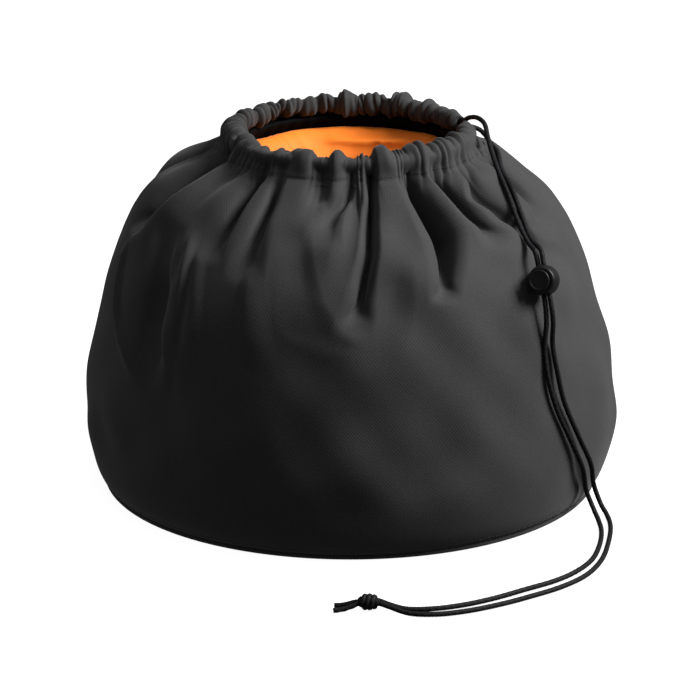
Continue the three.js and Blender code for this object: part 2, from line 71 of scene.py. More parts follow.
def addNode(tree, kind, settings=None, links=None):
    node = tree.nodes.new(kind)
    for name, value in (settings or {}).items():
        if isinstance(name, str) and hasattr(node, name) and name not in node.inputs:
            setattr(node, name, value)
        else:
            node.inputs[name].default_value = value
    for name, source in (links or {}).items():
        tree.links.new(source, node.inputs[name])
    return node


def newMaterial(name, sockets):
    material = bpy.data.materials.new(name)
    material.use_nodes = True
    shader = material.node_tree.nodes["Principled BSDF"]
    for socket, value in sockets.items():
        shader.inputs[socket].default_value = value
    return material, material.node_tree, shader


def smoothLine(points, count):
    p = np.array(points, float)
    p = np.vstack([2 * p[0] - p[1], p, 2 * p[-1] - p[-2]])
    parts = []
    for i in range(1, len(p) - 2):
        a, b, c, d = p[i - 1:i + 3]
        ab, bc, cd = (max(np.linalg.norm(y - x) ** 0.5, 1e-6) for x, y in ((a, b), (b, c), (c, d)))
        start = ((b - a) / ab - (c - a) / (ab + bc) + (c - b) / bc) * bc
        end = ((c - b) / bc - (d - b) / (bc + cd) + (d - c) / cd) * bc
        t = np.linspace(0, 1, 24, endpoint=False)[:, None]
        parts.append(b * (1 + 2 * t) * (1 - t) ** 2 + start * t * (1 - t) ** 2
                     + c * t * t * (3 - 2 * t) + end * t * t * (t - 1))
    line = np.vstack(parts + [p[-2:-1]])
    along = np.concatenate([[0], np.cumsum(np.linalg.norm(np.diff(line, axis=0), axis=1))])
    at = np.linspace(0, along[-1], count)
    return np.column_stack([np.interp(at, along, line[:, k]) for k in range(line.shape[1])])


def lengthOf(line):
    return float(np.linalg.norm(np.diff(line, axis=0), axis=1).sum())


def smoothStep(x, low, high):
    t = np.clip((x - low) / (high - low), 0, 1)
    return t * t * (3 - 2 * t)


def around(azimuth, radius, height):
    a = np.radians(azimuth)
    return np.stack(np.broadcast_arrays(radius * np.sin(a), -radius * np.cos(a), height), axis=-1)


def gridPiece(name, grid, cloth, body="bag", wrap=False, outward=True):
    up, across = grid.shape[0] - 1, grid.shape[1] - 1
    bpy.ops.object.select_all(action="DESELECT")
    bpy.ops.mesh.primitive_grid_add(x_subdivisions=across, y_subdivisions=up, size=1)
    piece = bpy.context.object
    piece.name = piece.data.name = name
    mesh = piece.data
    flat = np.empty(len(mesh.vertices) * 3)
    mesh.vertices.foreach_get("co", flat)
    flat = flat.reshape(-1, 3)
    column = np.rint((flat[:, 0] + 0.5) * across).astype(int)
    row = np.rint((flat[:, 1] + 0.5) * up).astype(int)
    mesh.vertices.foreach_set("co", (grid[row, column] * mm).ravel())
    corner = np.empty(len(mesh.loops), int)
    mesh.loops.foreach_get("vertex_index", corner)
    mesh.uv_layers[0].name = "cloth"
    mesh.uv_layers[0].data.foreach_set("uv", cloth[row[corner], column[corner]].ravel())
    bpy.ops.object.mode_set(mode="EDIT")
    bpy.ops.mesh.select_all(action="SELECT")
    if wrap:
        bpy.ops.mesh.remove_doubles(threshold=1e-6)
    if not outward:
        bpy.ops.mesh.flip_normals()
    bpy.ops.object.mode_set(mode="OBJECT")
    bpy.ops.object.shade_smooth()
    return piece


# Woven twill: 600 denier polyester with a diagonal wale, dull with a soft sheen where it turns away.
# The real wale is about 0.8 mm; it is drawn 2 mm apart so that it shows. The backing is the same black weave darkened
# further as painted shade, for the deep shadow inside the mouth.
def makeTwill(name, dark, light, wale=1.7, slope=-40, relief=0.14, sheen=0.1, specular=0.25):
    material, tree, shader = newMaterial(name, {
        "Roughness": 0.78, "Sheen Weight": sheen, "Sheen Roughness": 0.5, "Specular IOR Level": specular,
    })
    cloth = addNode(tree, "ShaderNodeUVMap", {"uv_map": "cloth"})
    turned = addNode(tree, "ShaderNodeMapping", {"Rotation": (0, 0, math.radians(slope))},
        {"Vector": cloth.outputs["UV"]})
    ribs = addNode(tree, "ShaderNodeTexWave", {
        "wave_type": "BANDS", "bands_direction": "X", "wave_profile": "SIN",
        "Scale": 0.31416 / (wale * mm), "Distortion": 0.7, "Detail": 1, "Detail Scale": 3,
    }, {"Vector": turned.outputs["Vector"]})
    crossed = addNode(tree, "ShaderNodeTexWave", {
        "wave_type": "BANDS", "bands_direction": "Y", "wave_profile": "SIN",
        "Scale": 0.31416 / (wale * 0.55 * mm), "Distortion": 1.2, "Detail": 1, "Detail Scale": 2,
    }, {"Vector": turned.outputs["Vector"]})
    threads = addNode(tree, "ShaderNodeMath", {"operation": "MULTIPLY_ADD", 1: 0.3}, {0: crossed.outputs["Fac"],
        2: ribs.outputs["Fac"]})
    place = addNode(tree, "ShaderNodeTexCoord")
    slubs = addNode(tree, "ShaderNodeTexNoise", {"Scale": 620, "Detail": 2, "Roughness": 0.5},
        {"Vector": place.outputs["Object"]})
    clouds = addNode(tree, "ShaderNodeTexNoise", {"Scale": 11, "Detail": 4, "Roughness": 0.55},
        {"Vector": place.outputs["Object"]})
    mixed = addNode(tree, "ShaderNodeMath", {"operation": "MULTIPLY_ADD", 1: 1.5}, {0: slubs.outputs["Fac"],
        2: threads.outputs["Value"]})
    shade = addNode(tree, "ShaderNodeMapRange", {"From Min": 0.7, "From Max": 2.1},
        {"Value": mixed.outputs["Value"]})
    weave = addNode(tree, "ShaderNodeMix", {"data_type": "RGBA", 6: toLinear(dark), 7: toLinear(light)},
        {0: shade.outputs["Result"]})
    wear = addNode(tree, "ShaderNodeMapRange", {"From Min": 0.3, "From Max": 0.7, "To Min": 0.9, "To Max": 1.12},
        {"Value": clouds.outputs["Fac"]})
    tone = addNode(tree, "ShaderNodeMix", {"data_type": "RGBA", "blend_type": "MULTIPLY", 0: 1},
        {6: weave.outputs[2], 7: wear.outputs["Result"]})
    tree.links.new(tone.outputs[2], shader.inputs["Base Color"])
    bump = addNode(tree, "ShaderNodeBump", {"Strength": 0.28, "Distance": relief * mm},
        {"Height": mixed.outputs["Value"]})
    tree.links.new(bump.outputs["Normal"], shader.inputs["Normal"])
    return material


# Lining taffeta: smooth woven polyester, dyed orange, with a faint grain of threads and a low sheen.
def makeLiningCloth():
    material, tree, shader = newMaterial("orangeTaffeta", {
        "Roughness": 0.62, "Sheen Weight": 0.15, "Sheen Roughness": 0.4, "Specular IOR Level": 0.3,
    })
    cloth = addNode(tree, "ShaderNodeUVMap", {"uv_map": "cloth"})
    warp, weft = (addNode(tree, "ShaderNodeTexWave", {
        "wave_type": "BANDS", "bands_direction": way, "Scale": 0.31416 / (1.1 * mm),
            "Distortion": 0.6, "Detail": 1, "Detail Scale": 3,
    }, {"Vector": cloth.outputs["UV"]}) for way in ("X", "Y"))
    place = addNode(tree, "ShaderNodeTexCoord")
    clouds = addNode(tree, "ShaderNodeTexNoise", {"Scale": 16, "Detail": 3}, {"Vector": place.outputs["Object"]})
    threads = addNode(tree, "ShaderNodeMath", {"operation": "MULTIPLY"}, {0: warp.outputs["Fac"],
        1: weft.outputs["Fac"]})
    tone = addNode(tree, "ShaderNodeMapRange", {"From Min": 0.3, "From Max": 0.7},
        {"Value": clouds.outputs["Fac"]})
    dyed = addNode(tree, "ShaderNodeMix", {"data_type": "RGBA", 6: toLinear("#e87417"), 7: toLinear("#ee7f1e")},
        {0: tone.outputs["Result"]})
    tree.links.new(dyed.outputs[2], shader.inputs["Base Color"])
    bump = addNode(tree, "ShaderNodeBump", {"Strength": 0.35, "Distance": 0.1 * mm},
        {"Height": threads.outputs["Value"]})
    tree.links.new(bump.outputs["Normal"], shader.inputs["Normal"])
    return material


# Braided polyester cord: eight carriers cross every 2.2 mm, so the strand sparkles in small lozenges.
def makeCordBraid():
    material, tree, shader = newMaterial("braidedPolyester", {
        "Roughness": 0.6, "Specular IOR Level": 0.14,
    })
    cloth = addNode(tree, "ShaderNodeUVMap", {"uv_map": "cloth"})
    waves = []
    for way in (1, -1):
        turned = addNode(tree, "ShaderNodeMapping", {
            "Rotation": (0, 0, math.radians(38 * way)),
        }, {"Vector": cloth.outputs["UV"]})
        waves.append(addNode(tree, "ShaderNodeTexWave", {
            "wave_type": "BANDS", "bands_direction": "X", "Scale": 0.31416 / (1.3 * mm),
        }, {"Vector": turned.outputs["Vector"]}))
    braid = addNode(tree, "ShaderNodeMath", {"operation": "MAXIMUM"}, {0: waves[0].outputs["Fac"],
        1: waves[1].outputs["Fac"]})
    weave = addNode(tree, "ShaderNodeMix", {"data_type": "RGBA", 6: toLinear("#050506"), 7: toLinear("#19191b")},
        {0: braid.outputs["Value"]})
    tree.links.new(weave.outputs[2], shader.inputs["Base Color"])
    bump = addNode(tree, "ShaderNodeBump", {"Strength": 0.6, "Distance": 0.25 * mm},
        {"Height": braid.outputs["Value"]})
    tree.links.new(bump.outputs["Normal"], shader.inputs["Normal"])
    return material


# Moulded acetal: satin black with the fine grain of a spark-eroded mould, 0.4 mm.
def makeLockPlastic():
    material, tree, shader = newMaterial("mouldedAcetal",
        {"Roughness": 0.42, "Specular IOR Level": 0.3, "IOR": 1.48})
    place = addNode(tree, "ShaderNodeTexCoord")
    grain = addNode(tree, "ShaderNodeTexNoise", {"Scale": 2500, "Detail": 2}, {"Vector": place.outputs["Object"]})
    clouds = addNode(tree, "ShaderNodeTexNoise", {"Scale": 90, "Detail": 3}, {"Vector": place.outputs["Object"]})
    tone = addNode(tree, "ShaderNodeMix", {"data_type": "RGBA", 6: toLinear("#0b0b0c"), 7: toLinear("#111112")},
        {0: clouds.outputs["Fac"]})
    tree.links.new(tone.outputs[2], shader.inputs["Base Color"])
    rough = addNode(tree, "ShaderNodeMapRange", {"To Min": 0.36, "To Max": 0.5}, {"Value": clouds.outputs["Fac"]})
    tree.links.new(rough.outputs["Result"], shader.inputs["Roughness"])
    bump = addNode(tree, "ShaderNodeBump", {"Strength": 0.25, "Distance": 0.05 * mm},
        {"Height": grain.outputs["Fac"]})
    tree.links.new(bump.outputs["Normal"], shader.inputs["Normal"])
    return material


blackTwill = makeTwill("blackTwill", "#242424", "#323232")
# Painted shade: the backing's near-black colour, with sheen off and little specular, stands for the shadow under the
# casing, darker than the black cloth itself.
paintedShadeBacking = makeTwill("paintedShadeBacking", "#050505", "#070707", sheen=0, specular=0.04)
orangeTaffeta = makeLiningCloth()
sewingThread = makeTwill("sewingThread", "#242424", "#323232", wale=0.7)
braidedPolyester = makeCordBraid()
mouldedAcetal = makeLockPlastic()
print("materials made")


# The two free strands. Points in metres, from the ends of the casing to the knot.
cord = {"diameter": 3.6, "sides": 16, "step": 0.9, "relief": 0.16, "carriers": 4, "lay": 5.2}
leftRoute = [
    (0.0826, 0.032, 0.2655), (0.0849, 0.0264, 0.2674), (0.0888, 0.0198, 0.2714), (0.0944, 0.0116, 0.2732),
    (0.0992, 0.0026, 0.271), (0.1014, -0.01, 0.2636), (0.104, -0.0246, 0.255), (0.1078, -0.042, 0.2462),
    (0.1139, -0.0646, 0.2349), (0.12, -0.086, 0.2205), (0.1262, -0.103, 0.21), (0.131, -0.1138, 0.2056),
    (0.1326, -0.1172, 0.1995), (0.1342, -0.1202, 0.1911), (0.136, -0.1236, 0.1818),
    (0.1379, -0.1273, 0.1717), (0.1389, -0.1306, 0.158), (0.138, -0.1322, 0.14), (0.1408, -0.135, 0.118),
    (0.1476, -0.133, 0.094), (0.1588, -0.1272, 0.068), (0.1688, -0.1139, 0.042), (0.173, -0.1008, 0.02),
    (0.1786, -0.1048, 0.0066), (0.181, -0.113, 0.0024), (0.1816, -0.134, 0.0021), (0.178, -0.162, 0.0021),
    (0.17, -0.191, 0.0021), (0.157, -0.213, 0.0021), (0.142, -0.229, 0.0021), (0.12, -0.245, 0.0021),
    (0.099, -0.26, 0.0021), (0.078, -0.2716, 0.0021), (0.057, -0.2786, 0.0021), (0.038, -0.2796, 0.0023),
    (0.0274, -0.2772, 0.0042), (0.0204, -0.2748, 0.006),
]
rightRoute = [
    (0.088, 0.0106, 0.265), (0.0873, 0.0154, 0.2652), (0.0882, 0.0204, 0.264), (0.092, 0.025, 0.263),
    (0.097, 0.025, 0.2608), (0.1008, 0.0208, 0.2579), (0.1036, 0.0136, 0.2553), (0.1058, 0.004, 0.2536),
    (0.1088, -0.01, 0.2523), (0.1108, -0.0302, 0.2445), (0.117, -0.0552, 0.2368), (0.123, -0.0778, 0.2234),
    (0.129, -0.099, 0.2106), (0.1352, -0.1142, 0.2066), (0.1364, -0.1181, 0.2007), (0.138, -0.1212, 0.1922),
    (0.1398, -0.1246, 0.1829), (0.1418, -0.1283, 0.1728), (0.1436, -0.1306, 0.16), (0.1437, -0.1295, 0.142),
    (0.1476, -0.1298, 0.121), (0.1531, -0.1268, 0.098), (0.1644, -0.121, 0.07), (0.1754, -0.1042, 0.042),
    (0.1794, -0.0892, 0.02), (0.1846, -0.0925, 0.0066), (0.188, -0.102, 0.0025), (0.189, -0.124, 0.0021),
    (0.1846, -0.158, 0.0021), (0.1766, -0.192, 0.0021), (0.164, -0.219, 0.0021), (0.1456, -0.24, 0.0021),
    (0.1234, -0.257, 0.0021), (0.102, -0.271, 0.0021), (0.078, -0.283, 0.0021), (0.057, -0.2884, 0.0021),
    (0.039, -0.2866, 0.0023), (0.0282, -0.2824, 0.0044), (0.02, -0.2789, 0.0061),
]


def tubeGrid(line, radius, sides, relief, carriers, lay):
    way = np.gradient(line, axis=0)
    way /= np.linalg.norm(way, axis=1)[:, None]
    side = np.cross(way[0], (0, 0, 1) if abs(way[0][2]) < 0.9 else (1, 0, 0))
    sideways = []
    for direction in way:
        side = side - direction * np.dot(side, direction)
        side = side / np.linalg.norm(side)
        sideways.append(side)
    sideways = np.array(sideways)
    upward = np.cross(way, sideways)
    turn = np.linspace(0, 2 * np.pi, sides + 1)
    along = np.concatenate([[0], np.cumsum(np.linalg.norm(np.diff(line, axis=0), axis=1))])
    one = np.cos(carriers * turn[None, :] + 6.28 * along[:, None] / lay)
    other = np.cos(carriers * turn[None, :] - 6.28 * along[:, None] / lay)
    size = radius + relief * (np.maximum(one, other) - 0.55)
    grid = line[:, None] + size[...,
        None] * (np.cos(turn)[None, :, None] * sideways[:, None] + np.sin(turn)[None, :, None] * upward[:, None])
    cloth = np.stack(np.broadcast_arrays(turn[None, :] * radius, along[:, None]), axis=-1) * mm
    grid = np.concatenate([np.repeat(line[:1, None], sides + 1, axis=1), grid, np.repeat(line[-1:, None],
        sides + 1, axis=1)])
    cloth = np.concatenate([cloth[:1], cloth, cloth[-1:]])
    return grid, cloth


def cordPiece(name, line, node, relief=None):
    grid, cloth = tubeGrid(line, cord["diameter"] / 2, cord["sides"],
        cord["relief"] if relief is None else relief, cord["carriers"], cord["lay"])
    piece = gridPiece(name, grid, cloth, wrap=True)
    piece.data.materials.append(braidedPolyester)
    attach(piece, "bag")
    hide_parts(node)
    return piece


def freeStrand(name, route, node):
    points = np.array(route) / mm
    coarse = smoothLine(points, 400)
    line = smoothLine(points, int(lengthOf(coarse) / cord["step"]))
    return cordPiece(name, line, node), line


cordLeft, leftLine = freeStrand("cordLeft", leftRoute, "drawcord_left")
cordRight, rightLine = freeStrand("cordRight", rightRoute, "drawcord_right")
print("strands laid: %.1f and %.1f mm" % (lengthOf(leftLine), lengthOf(rightLine)))


# Cloth of the bag.
bag = {
    "girth": 200, "rimHeight": 257, "rimRadius": 96, "rimDip": 2,
    "footHeight": 4.2, "footRadius": 186.9,
    # height and fullness of the outline as shares, and whether fullness counts from the rim's radius
    "sections": [
        (0, 0, False), (0.022, 0.3, False), (0.065, 0.62, False), (0.182, 1, False), (0.3, 0.986, True),
        (0.419, 0.938, True), (0.537, 0.876, True), (0.636, 0.808, True), (0.735, 0.702, True),
        (0.814, 0.577, True), (0.885, 0.406, True), (0.945, 0.204, True), (0.98, 0.075, True), (1, 0, True),
    ],
    "shoulder": {"azimuth": -105, "spread": 52, "along": 0.86, "length": 0.17, "amount": 10},
    "hemAlong": 0.985,  # the casing's cloth runs on from here
    "seams": (-97, 96),  # where the front and back panels meet at the rim
    "seamsFoot": (-98, 92),
}

# Each fold runs down the wall through its points: height, azimuth, depth, half width to its left and right.
# A negative depth stands out as a ridge.
folds = {
    "slitMiddle": [(262, 9.4, 4.9, 3.2, 2.5), (255.3, 9.4, 16.6, 3.2, 2.5), (245, 8.1, 24.8, 3.5, 2.5),
        (232, 6.7, 26.2, 3.7, 2.5), (218, 5.7, 23.4, 3.7, 2.7), (203, 4.1, 17.9, 4.1, 2.7),
        (187, 2.7, 11, 4.6, 3.4), (174, 1.5, 4.1, 5.4, 4.5), (162, 0.5, 0, 5.4, 4.5)],
    "slitShelf": [(262, 0.8, 2.4, 5, 3), (254.9, 0.8, 4, 5, 3), (245, 1.8, 6, 6, 4), (229, 1.5, 5, 6, 5),
        (211, 0, 3, 6, 5), (194, -1.2, 0, 6, 5)],
    "valleyRight": [(262, 26.8, 2.9, 3.2, 4.8), (256.1, 26.8, 12, 4.8, 7.2), (248, 25.8, 24, 6.7, 8),
        (236, 27.3, 30, 8, 8), (223, 28, 27.6, 8, 7.4), (210, 26.4, 20.4, 6.7, 5.8), (196, 24.2, 12, 5.4, 4.5),
        (187, 23, 4.8, 4.8, 4.2), (182, 22.5, 0, 4.8, 4.2)],
    "valleyShoulder": [(262, 38, 2, 3.2, 6), (250.2, 38, 18.7, 3.6, 11), (241, 39, 20.9, 4, 11),
        (231, 39.3, 15.4, 4.3, 10), (221, 42, 8.8, 5.4, 8), (210, 43.2, 0, 7.2, 6)],
    "creaseMiddle": [(262, 0.5, 3.6, 5, 2.4), (251.4, 0.5, 9, 7, 2.4), (246, -2.5, 9, 7, 2.7),
        (238, -5.5, 8, 7, 3.3), (229, -6.8, 5, 7, 4.5), (218, -7.5, 0, 7, 6)],
    "dimple": [(262, -10.2, 4, 3.4, 2.8), (254.4, -10.2, 4.4, 4.2, 3.4), (248, -10.8, 1.7, 4.2, 4.2),
        (240, -11.2, 0, 4.2, 4.2)],
    "softLeft": [(262, -30.2, 2.6, 4, 4), (253.2, -30.2, 8.6, 4.5, 4), (242, -28.5, 11.5, 5, 4.5),
        (226, -27.5, 10, 6, 5), (209, -27, 5.8, 6, 6), (193, -26.5, 0, 6, 6)],
    "edgeLeft": [(262, -38.8, 2.3, 6, 2.7), (248, -38.8, 15.6, 10, 3.1), (239, -38.5, 14.3, 10, 3.1),
        (227, -37.8, 10.4, 10, 3.4), (215, -38.5, 5.2, 9, 4.1), (203, -38.2, 0, 8, 5.1)],
    "puffLeft": [(262, -47.8, 1.2, 4, 2), (256.1, -47.8, 5, 5, 2), (252.3, -50, 3, 5, 3), (248, -52.2, 0, 5, 4)],
    "valleyLeft": [(262, -68.2, 4, 8, 3.4), (250.6, -68.2, 27.5, 14, 4.1), (241, -68.8, 28.6, 14, 4.4),
        (231, -68.2, 22, 14, 4.8), (221, -69, 14.3, 13, 5.4), (210, -71.5, 6.6, 12, 6.8), (198, -74, 0, 12, 8.5)],
    "ridgeLeft": [(262, -60.8, -0.6, 3, 4), (251, -60.8, -3, 3, 6), (238, -60.8, -4, 3, 7),
        (222, -63.2, -4, 3, 7), (208, -66.8, -3, 4, 7), (195, -69.8, -1.5, 4, 8), (186, -71, 0, 4, 8)],
    "hollowLeft": [(219, -56.5, 2.4, 9, 6), (201, -54.8, 8.4, 12, 8), (179, -52, 10.8, 13, 9),
        (155, -51.2, 10.8, 12, 9), (135, -49.2, 7.2, 11, 9), (116, -46.8, 2.4, 10, 9), (102, -45.2, 0, 10, 9)],
    "hollowRidgeIn": [(217, -47.8, 0, 2.4, 2.4), (205, -45.2, -3, 2.4, 2.1), (188, -43.5, -3.9, 2.4, 2.1),
        (165, -42.8, -4.2, 2.7, 2.4), (144, -43, -3.5, 3.2, 2.7), (124, -44, -2.3, 4, 3.2),
        (103, -44.8, 0, 4, 3.2)],
    "hollowRidgeOut": [(197, -72.2, 0, 3.2, 2.4), (184, -72.2, -2.6, 3.2, 2.4), (166, -69.2, -3.5, 3.2, 2.7),
        (151, -66, -3.9, 3.2, 2.9), (133, -60.8, -3.2, 4, 3.2), (119, -55.5, -2.3, 4.8, 4),
        (105, -51.2, 0, 4.8, 4)],
    "lowRidgeA": [(215, -42, 0, 2.6, 3), (201, -40.8, -1.7, 2.6, 3), (177, -38.2, -1.9, 2.8, 3),
        (154, -37.8, -1.7, 3, 4), (136, -37.8, 0, 3, 4)],
    "lowRidgeB": [(214, -23.8, 0, 3, 5), (200, -24.8, -1.9, 3, 5), (180, -24, -2.2, 3, 6),
        (157, -22.5, -1.4, 4, 6), (138, -20.5, 0, 4, 6)],
    "lowHollow": [(231, -15.5, 0, 6, 4.8), (223, -14.5, 2, 8, 4.2), (202, -12.5, 2.8, 9, 4.5),
        (184, -10.8, 2.5, 9, 5.4), (164, -7, 2, 9, 6.4), (151, -2.5, 0, 8, 8)],
    "lowHollowRight": [(210, 12.2, 0, 5, 4), (196, 11, 2.4, 6, 5), (177, 9, 2.4, 7, 6), (158, 6.5, 1.6, 7, 6),
        (138, 4.2, 0, 7, 6)],
    "edgeShoulder": [(260, 56, 4.2, 3.6, 9), (250, 52.5, 11.6, 3.6, 11), (240, 51, 15.8, 4, 12),
        (226, 52, 14.7, 4.3, 12), (212, 55, 10.5, 5.4, 12), (198, 57.5, 5.2, 7.2, 11), (184, 60, 0, 10.8, 11)],
    "edgeUnderCord": [(260, 84, 4, 4, 9), (253, 77, 9, 3, 10), (243, 71, 11, 3, 11), (230, 68.5, 9, 3.5, 11),
        (216, 67, 5, 5, 11), (200, 67, 0, 6, 11)],
    "edgeBackLeft": [(261, -97, 4, 12, 3), (250, -94, 9, 14, 3), (230, -92, 10, 14, 3), (205, -92, 9, 14, 3.5),
        (180, -93, 6, 13, 5), (155, -94, 3, 12, 7), (130, -95, 0, 12, 8)],
    "dentRight": [(180, 70, 0, 12, 12), (140, 66, 3, 14, 14), (110, 60, 3, 14, 14), (80, 55, 0, 12, 12)],
}

# The folds of the back, which the photo doesn't show: azimuth at the rim and foot, share of the wall, depth, widths.
backFolds = [
    (113, 110, 0.36, 14, 4, 9), (129, 133, 0.26, 12, 5, 7), (144, 148, 0.37, 18, 7, 5),
    (159, 160, 0.25, 12, 4, 7),
    (174, 173, 0.34, 17, 6, 5), (-172, -174, 0.32, 15, 5, 7), (-157, -160, 0.24, 12, 7, 4),
    (-142, -147, 0.38, 18, 5, 8),
    (-124, -127, 0.28, 13, 8, 4), (96, 92, 0.2, 6, 4, 8),
]


def wallOutline():
    rows = []
    for height, fullness, above in bag["sections"]:
        narrow = bag["rimRadius"] if above else bag["footRadius"]
        rows.append((narrow + (bag["girth"] - narrow) * fullness,
                     bag["footHeight"] + (bag["rimHeight"] - bag["footHeight"]) * height))
    return smoothLine(rows, 401)


outline = wallOutline()
outlineWay = np.gradient(outline, axis=0)
outlineWay /= np.linalg.norm(outlineWay, axis=1)[:, None]
shares = np.linspace(0, 1, len(outline))


def alongWall(values, along):
    return np.interp(along, shares, values)


def turnBetween(a, b):
    return (a - b + 180) % 360 - 180


def softened(values, width=5):
    padded = np.pad(values, width, mode="edge")
    kernel = np.hanning(2 * width + 3)[1:-1]
    return np.convolve(padded, kernel / kernel.sum(), mode="same")[width:-width]


def foldTables():
    tables = list(folds.values())
    for rim, foot, reach, depth, left, right in backFolds:
        rows = []
        for share, deep in ((0, 0.3), (0.12, 0.75), (0.3, 1), (0.55, 0.72), (0.8, 0.3), (1, 0)):
            rows.append((alongWall(outline[:, 1], 1 - reach * share),
                rim + (foot - rim) * share, depth * deep, left, right))
        tables.append(rows)
    return tables


heights = np.linspace(0, 300, 601)
foldLines = []
for rows in foldTables():
    rows = np.array(rows[::-1], float)
    foldLines.append([softened(np.interp(heights, rows[:, 0], rows[:, k]), 9) for k in range(1, 5)])
    foldLines[-1][1] *= 1 - 0.5 * smoothStep(heights, 245, 256)


def foldShape(azimuth, height, sharp=1.7):
    depth = np.zeros(np.broadcast(azimuth, height).shape)
    lean = np.zeros(depth.shape)
    for middle, deep, left, right in foldLines:
        middle, deep, left, right = (np.interp(height, heights, v) for v in (middle, deep, left, right))
        off = turnBetween(azimuth, middle)
        t = np.clip(np.where(off < 0, -off / left, off / right), 0, 1)
        depth += deep * (1 - t) ** sharp * (1 + sharp * t)
        lean -= 0.72 * off * smoothStep(deep, 3, 12) * (t ** 1.5 * (1 - t) * 3.6) ** 1.2
    return depth, lean


def foldDepth(azimuth, height):
    return foldShape(azimuth, height)[0]


# The small gathers that the drawcord pulls: azimuth, depth, half width, slant across the casing, reach down the wall.
# Those of the front are listed one by one and the rest are spread unevenly.
frontGathers = [
    (-58, 2.8, 1.5, 4, 27), (-54.5, 1.8, 0.9, 4, 15), (-51.5, 2.6, 1.1, 4, 24), (-48, 1.6, 0.8, 3, 15),
    (-45.4, 2.8, 1, 3, 31),
    (-42.6, 1.6, 0.7, 3, 15), (-40.2, 3, 1, 2, 37), (-37.4, 1.6, 0.8, 2, 17), (-34.8, 2.4, 0.9, 2, 24),
    (-31, 0.9, 0.9, 1, 14),
    (-16.8, 1.6, 0.8, -1, 15), (-14.6, 3.6, 1, -2, 29), (-12.2, 4.6, 1.2, -2, 34), (-9.6, 2.2, 0.7, -2, 26),
    (-1.6, 0.9, 1.2, 0, 14),
    (1, 2.6, 0.6, 1, 20), (2.8, 3, 0.5, 0, 27), (4.4, 2.4, 0.5, 0, 31), (7, 3.6, 0.7, 0, 34),
    (9.2, 2.8, 0.6, 0, 31),
    (11, 1.4, 0.6, -1, 20), (20.6, 1.8, 0.7, 0, 20), (22.6, 3.2, 0.6, 0, 27), (24.6, 2.4, 0.5, 0, 24),
    (26.6, 2.4, 0.7, 0, 24),
    (32.4, 2.2, 0.8, 1, 31), (35.4, 1.2, 0.7, 1, 15), (40.6, 1.6, 0.8, 2, 20), (44.6, 2.8, 0.9, 2, 31),
    (47.4, 1.6, 0.7, 2, 17),
    (52, 2.8, 1, 2, 27), (55.4, 1.6, 0.8, 3, 15), (59.6, 3, 1.1, 3, 27), (63, 1.8, 0.8, 3, 17),
]


def gatherTable():
    rows = list(frontGathers)
    azimuth, slant = 65.5, 2
    while azimuth < 300:
        slant = 0.5 * slant + rng.normal(0, 4.6)
        rows.append((azimuth, 0.9 + 1.7 * rng.random() ** 1.4, 0.6 + 0.6 * rng.random(),
            slant, 6 + 16 * rng.random() ** 2))
        azimuth += 1.3 + 2.4 * rng.random() ** 1.4
    return np.array(rows)


gathers = gatherTable()


def gatherDepth(azimuth, up, down=0.0):
    shape = np.broadcast(azimuth, up, down).shape
    depth = np.zeros(shape)
    for middle, deep, wide, slant, reach in gathers:
        off = np.abs(turnBetween(azimuth, middle + slant * (up - 0.2))) / (wide * (1 + 0.02 * down))
        near = 0.68 * np.exp(-off ** 1.6) + 0.32 * np.exp(-(off / 2.6) ** 2)
        depth += deep * near * np.exp(-(down / reach) ** 2)
    return depth


waves = [(m, n, rng.random() * 6.28, rng.normal(0, 1) / (m * m + 9 * n * n) ** 0.45) for m in range(1,
    26) for n in range(-5, 6)]


def unevenness(azimuth, along):
    a = np.radians(azimuth)
    total = np.zeros(np.broadcast(azimuth, along).shape)
    for m, n, phase, size in waves:
        total += size * np.sin(m * a + 6.28 * n * along + phase)
    return total


def rimTilt(azimuth):
    return -bag["rimDip"] * np.cos(np.radians(azimuth))


def wallSwell(azimuth, along):
    turn = turnBetween(azimuth, bag["shoulder"]["azimuth"]) / bag["shoulder"]["spread"]
    rise = (along - bag["shoulder"]["along"]) / bag["shoulder"]["length"]
    swell = bag["shoulder"]["amount"] * np.exp(-turn ** 2 - rise ** 2) * (1 - along ** 12)
    down = (1 - along) * wallLength
    out = swell - foldDepth(azimuth, alongWall(outline[:, 1],
        along)) - gatherDepth(azimuth, 0, down) * (down < 70)
    return out + 0.9 * unevenness(azimuth, along) * smoothStep(along, 0.02,
        0.2) * (1 - smoothStep(along, 0.93, 1))


def wallPoints(azimuth, along):
    radius, height = alongWall(outline[:, 0], along), alongWall(outline[:, 1], along)
    wayX, wayY = alongWall(outlineWay[:, 0], along), alongWall(outlineWay[:, 1], along)
    level = smoothStep(along, 0.93, 1) + 1 - smoothStep(along, 0, 0.06)
    outX, outY = wayY + (1 - wayY) * level, -wayX * (1 - level)
    size = np.hypot(outX, outY)
    out = wallSwell(azimuth, along)
    tilt = rimTilt(azimuth) * smoothStep(along, 0.45, 1)
    azimuth = azimuth + foldShape(azimuth, height)[1] * (1 - smoothStep(along, 0.95, 0.985))
    return around(azimuth, radius + out * outX / size, height + out * outY / size + tilt)


wallLength = lengthOf(outline)


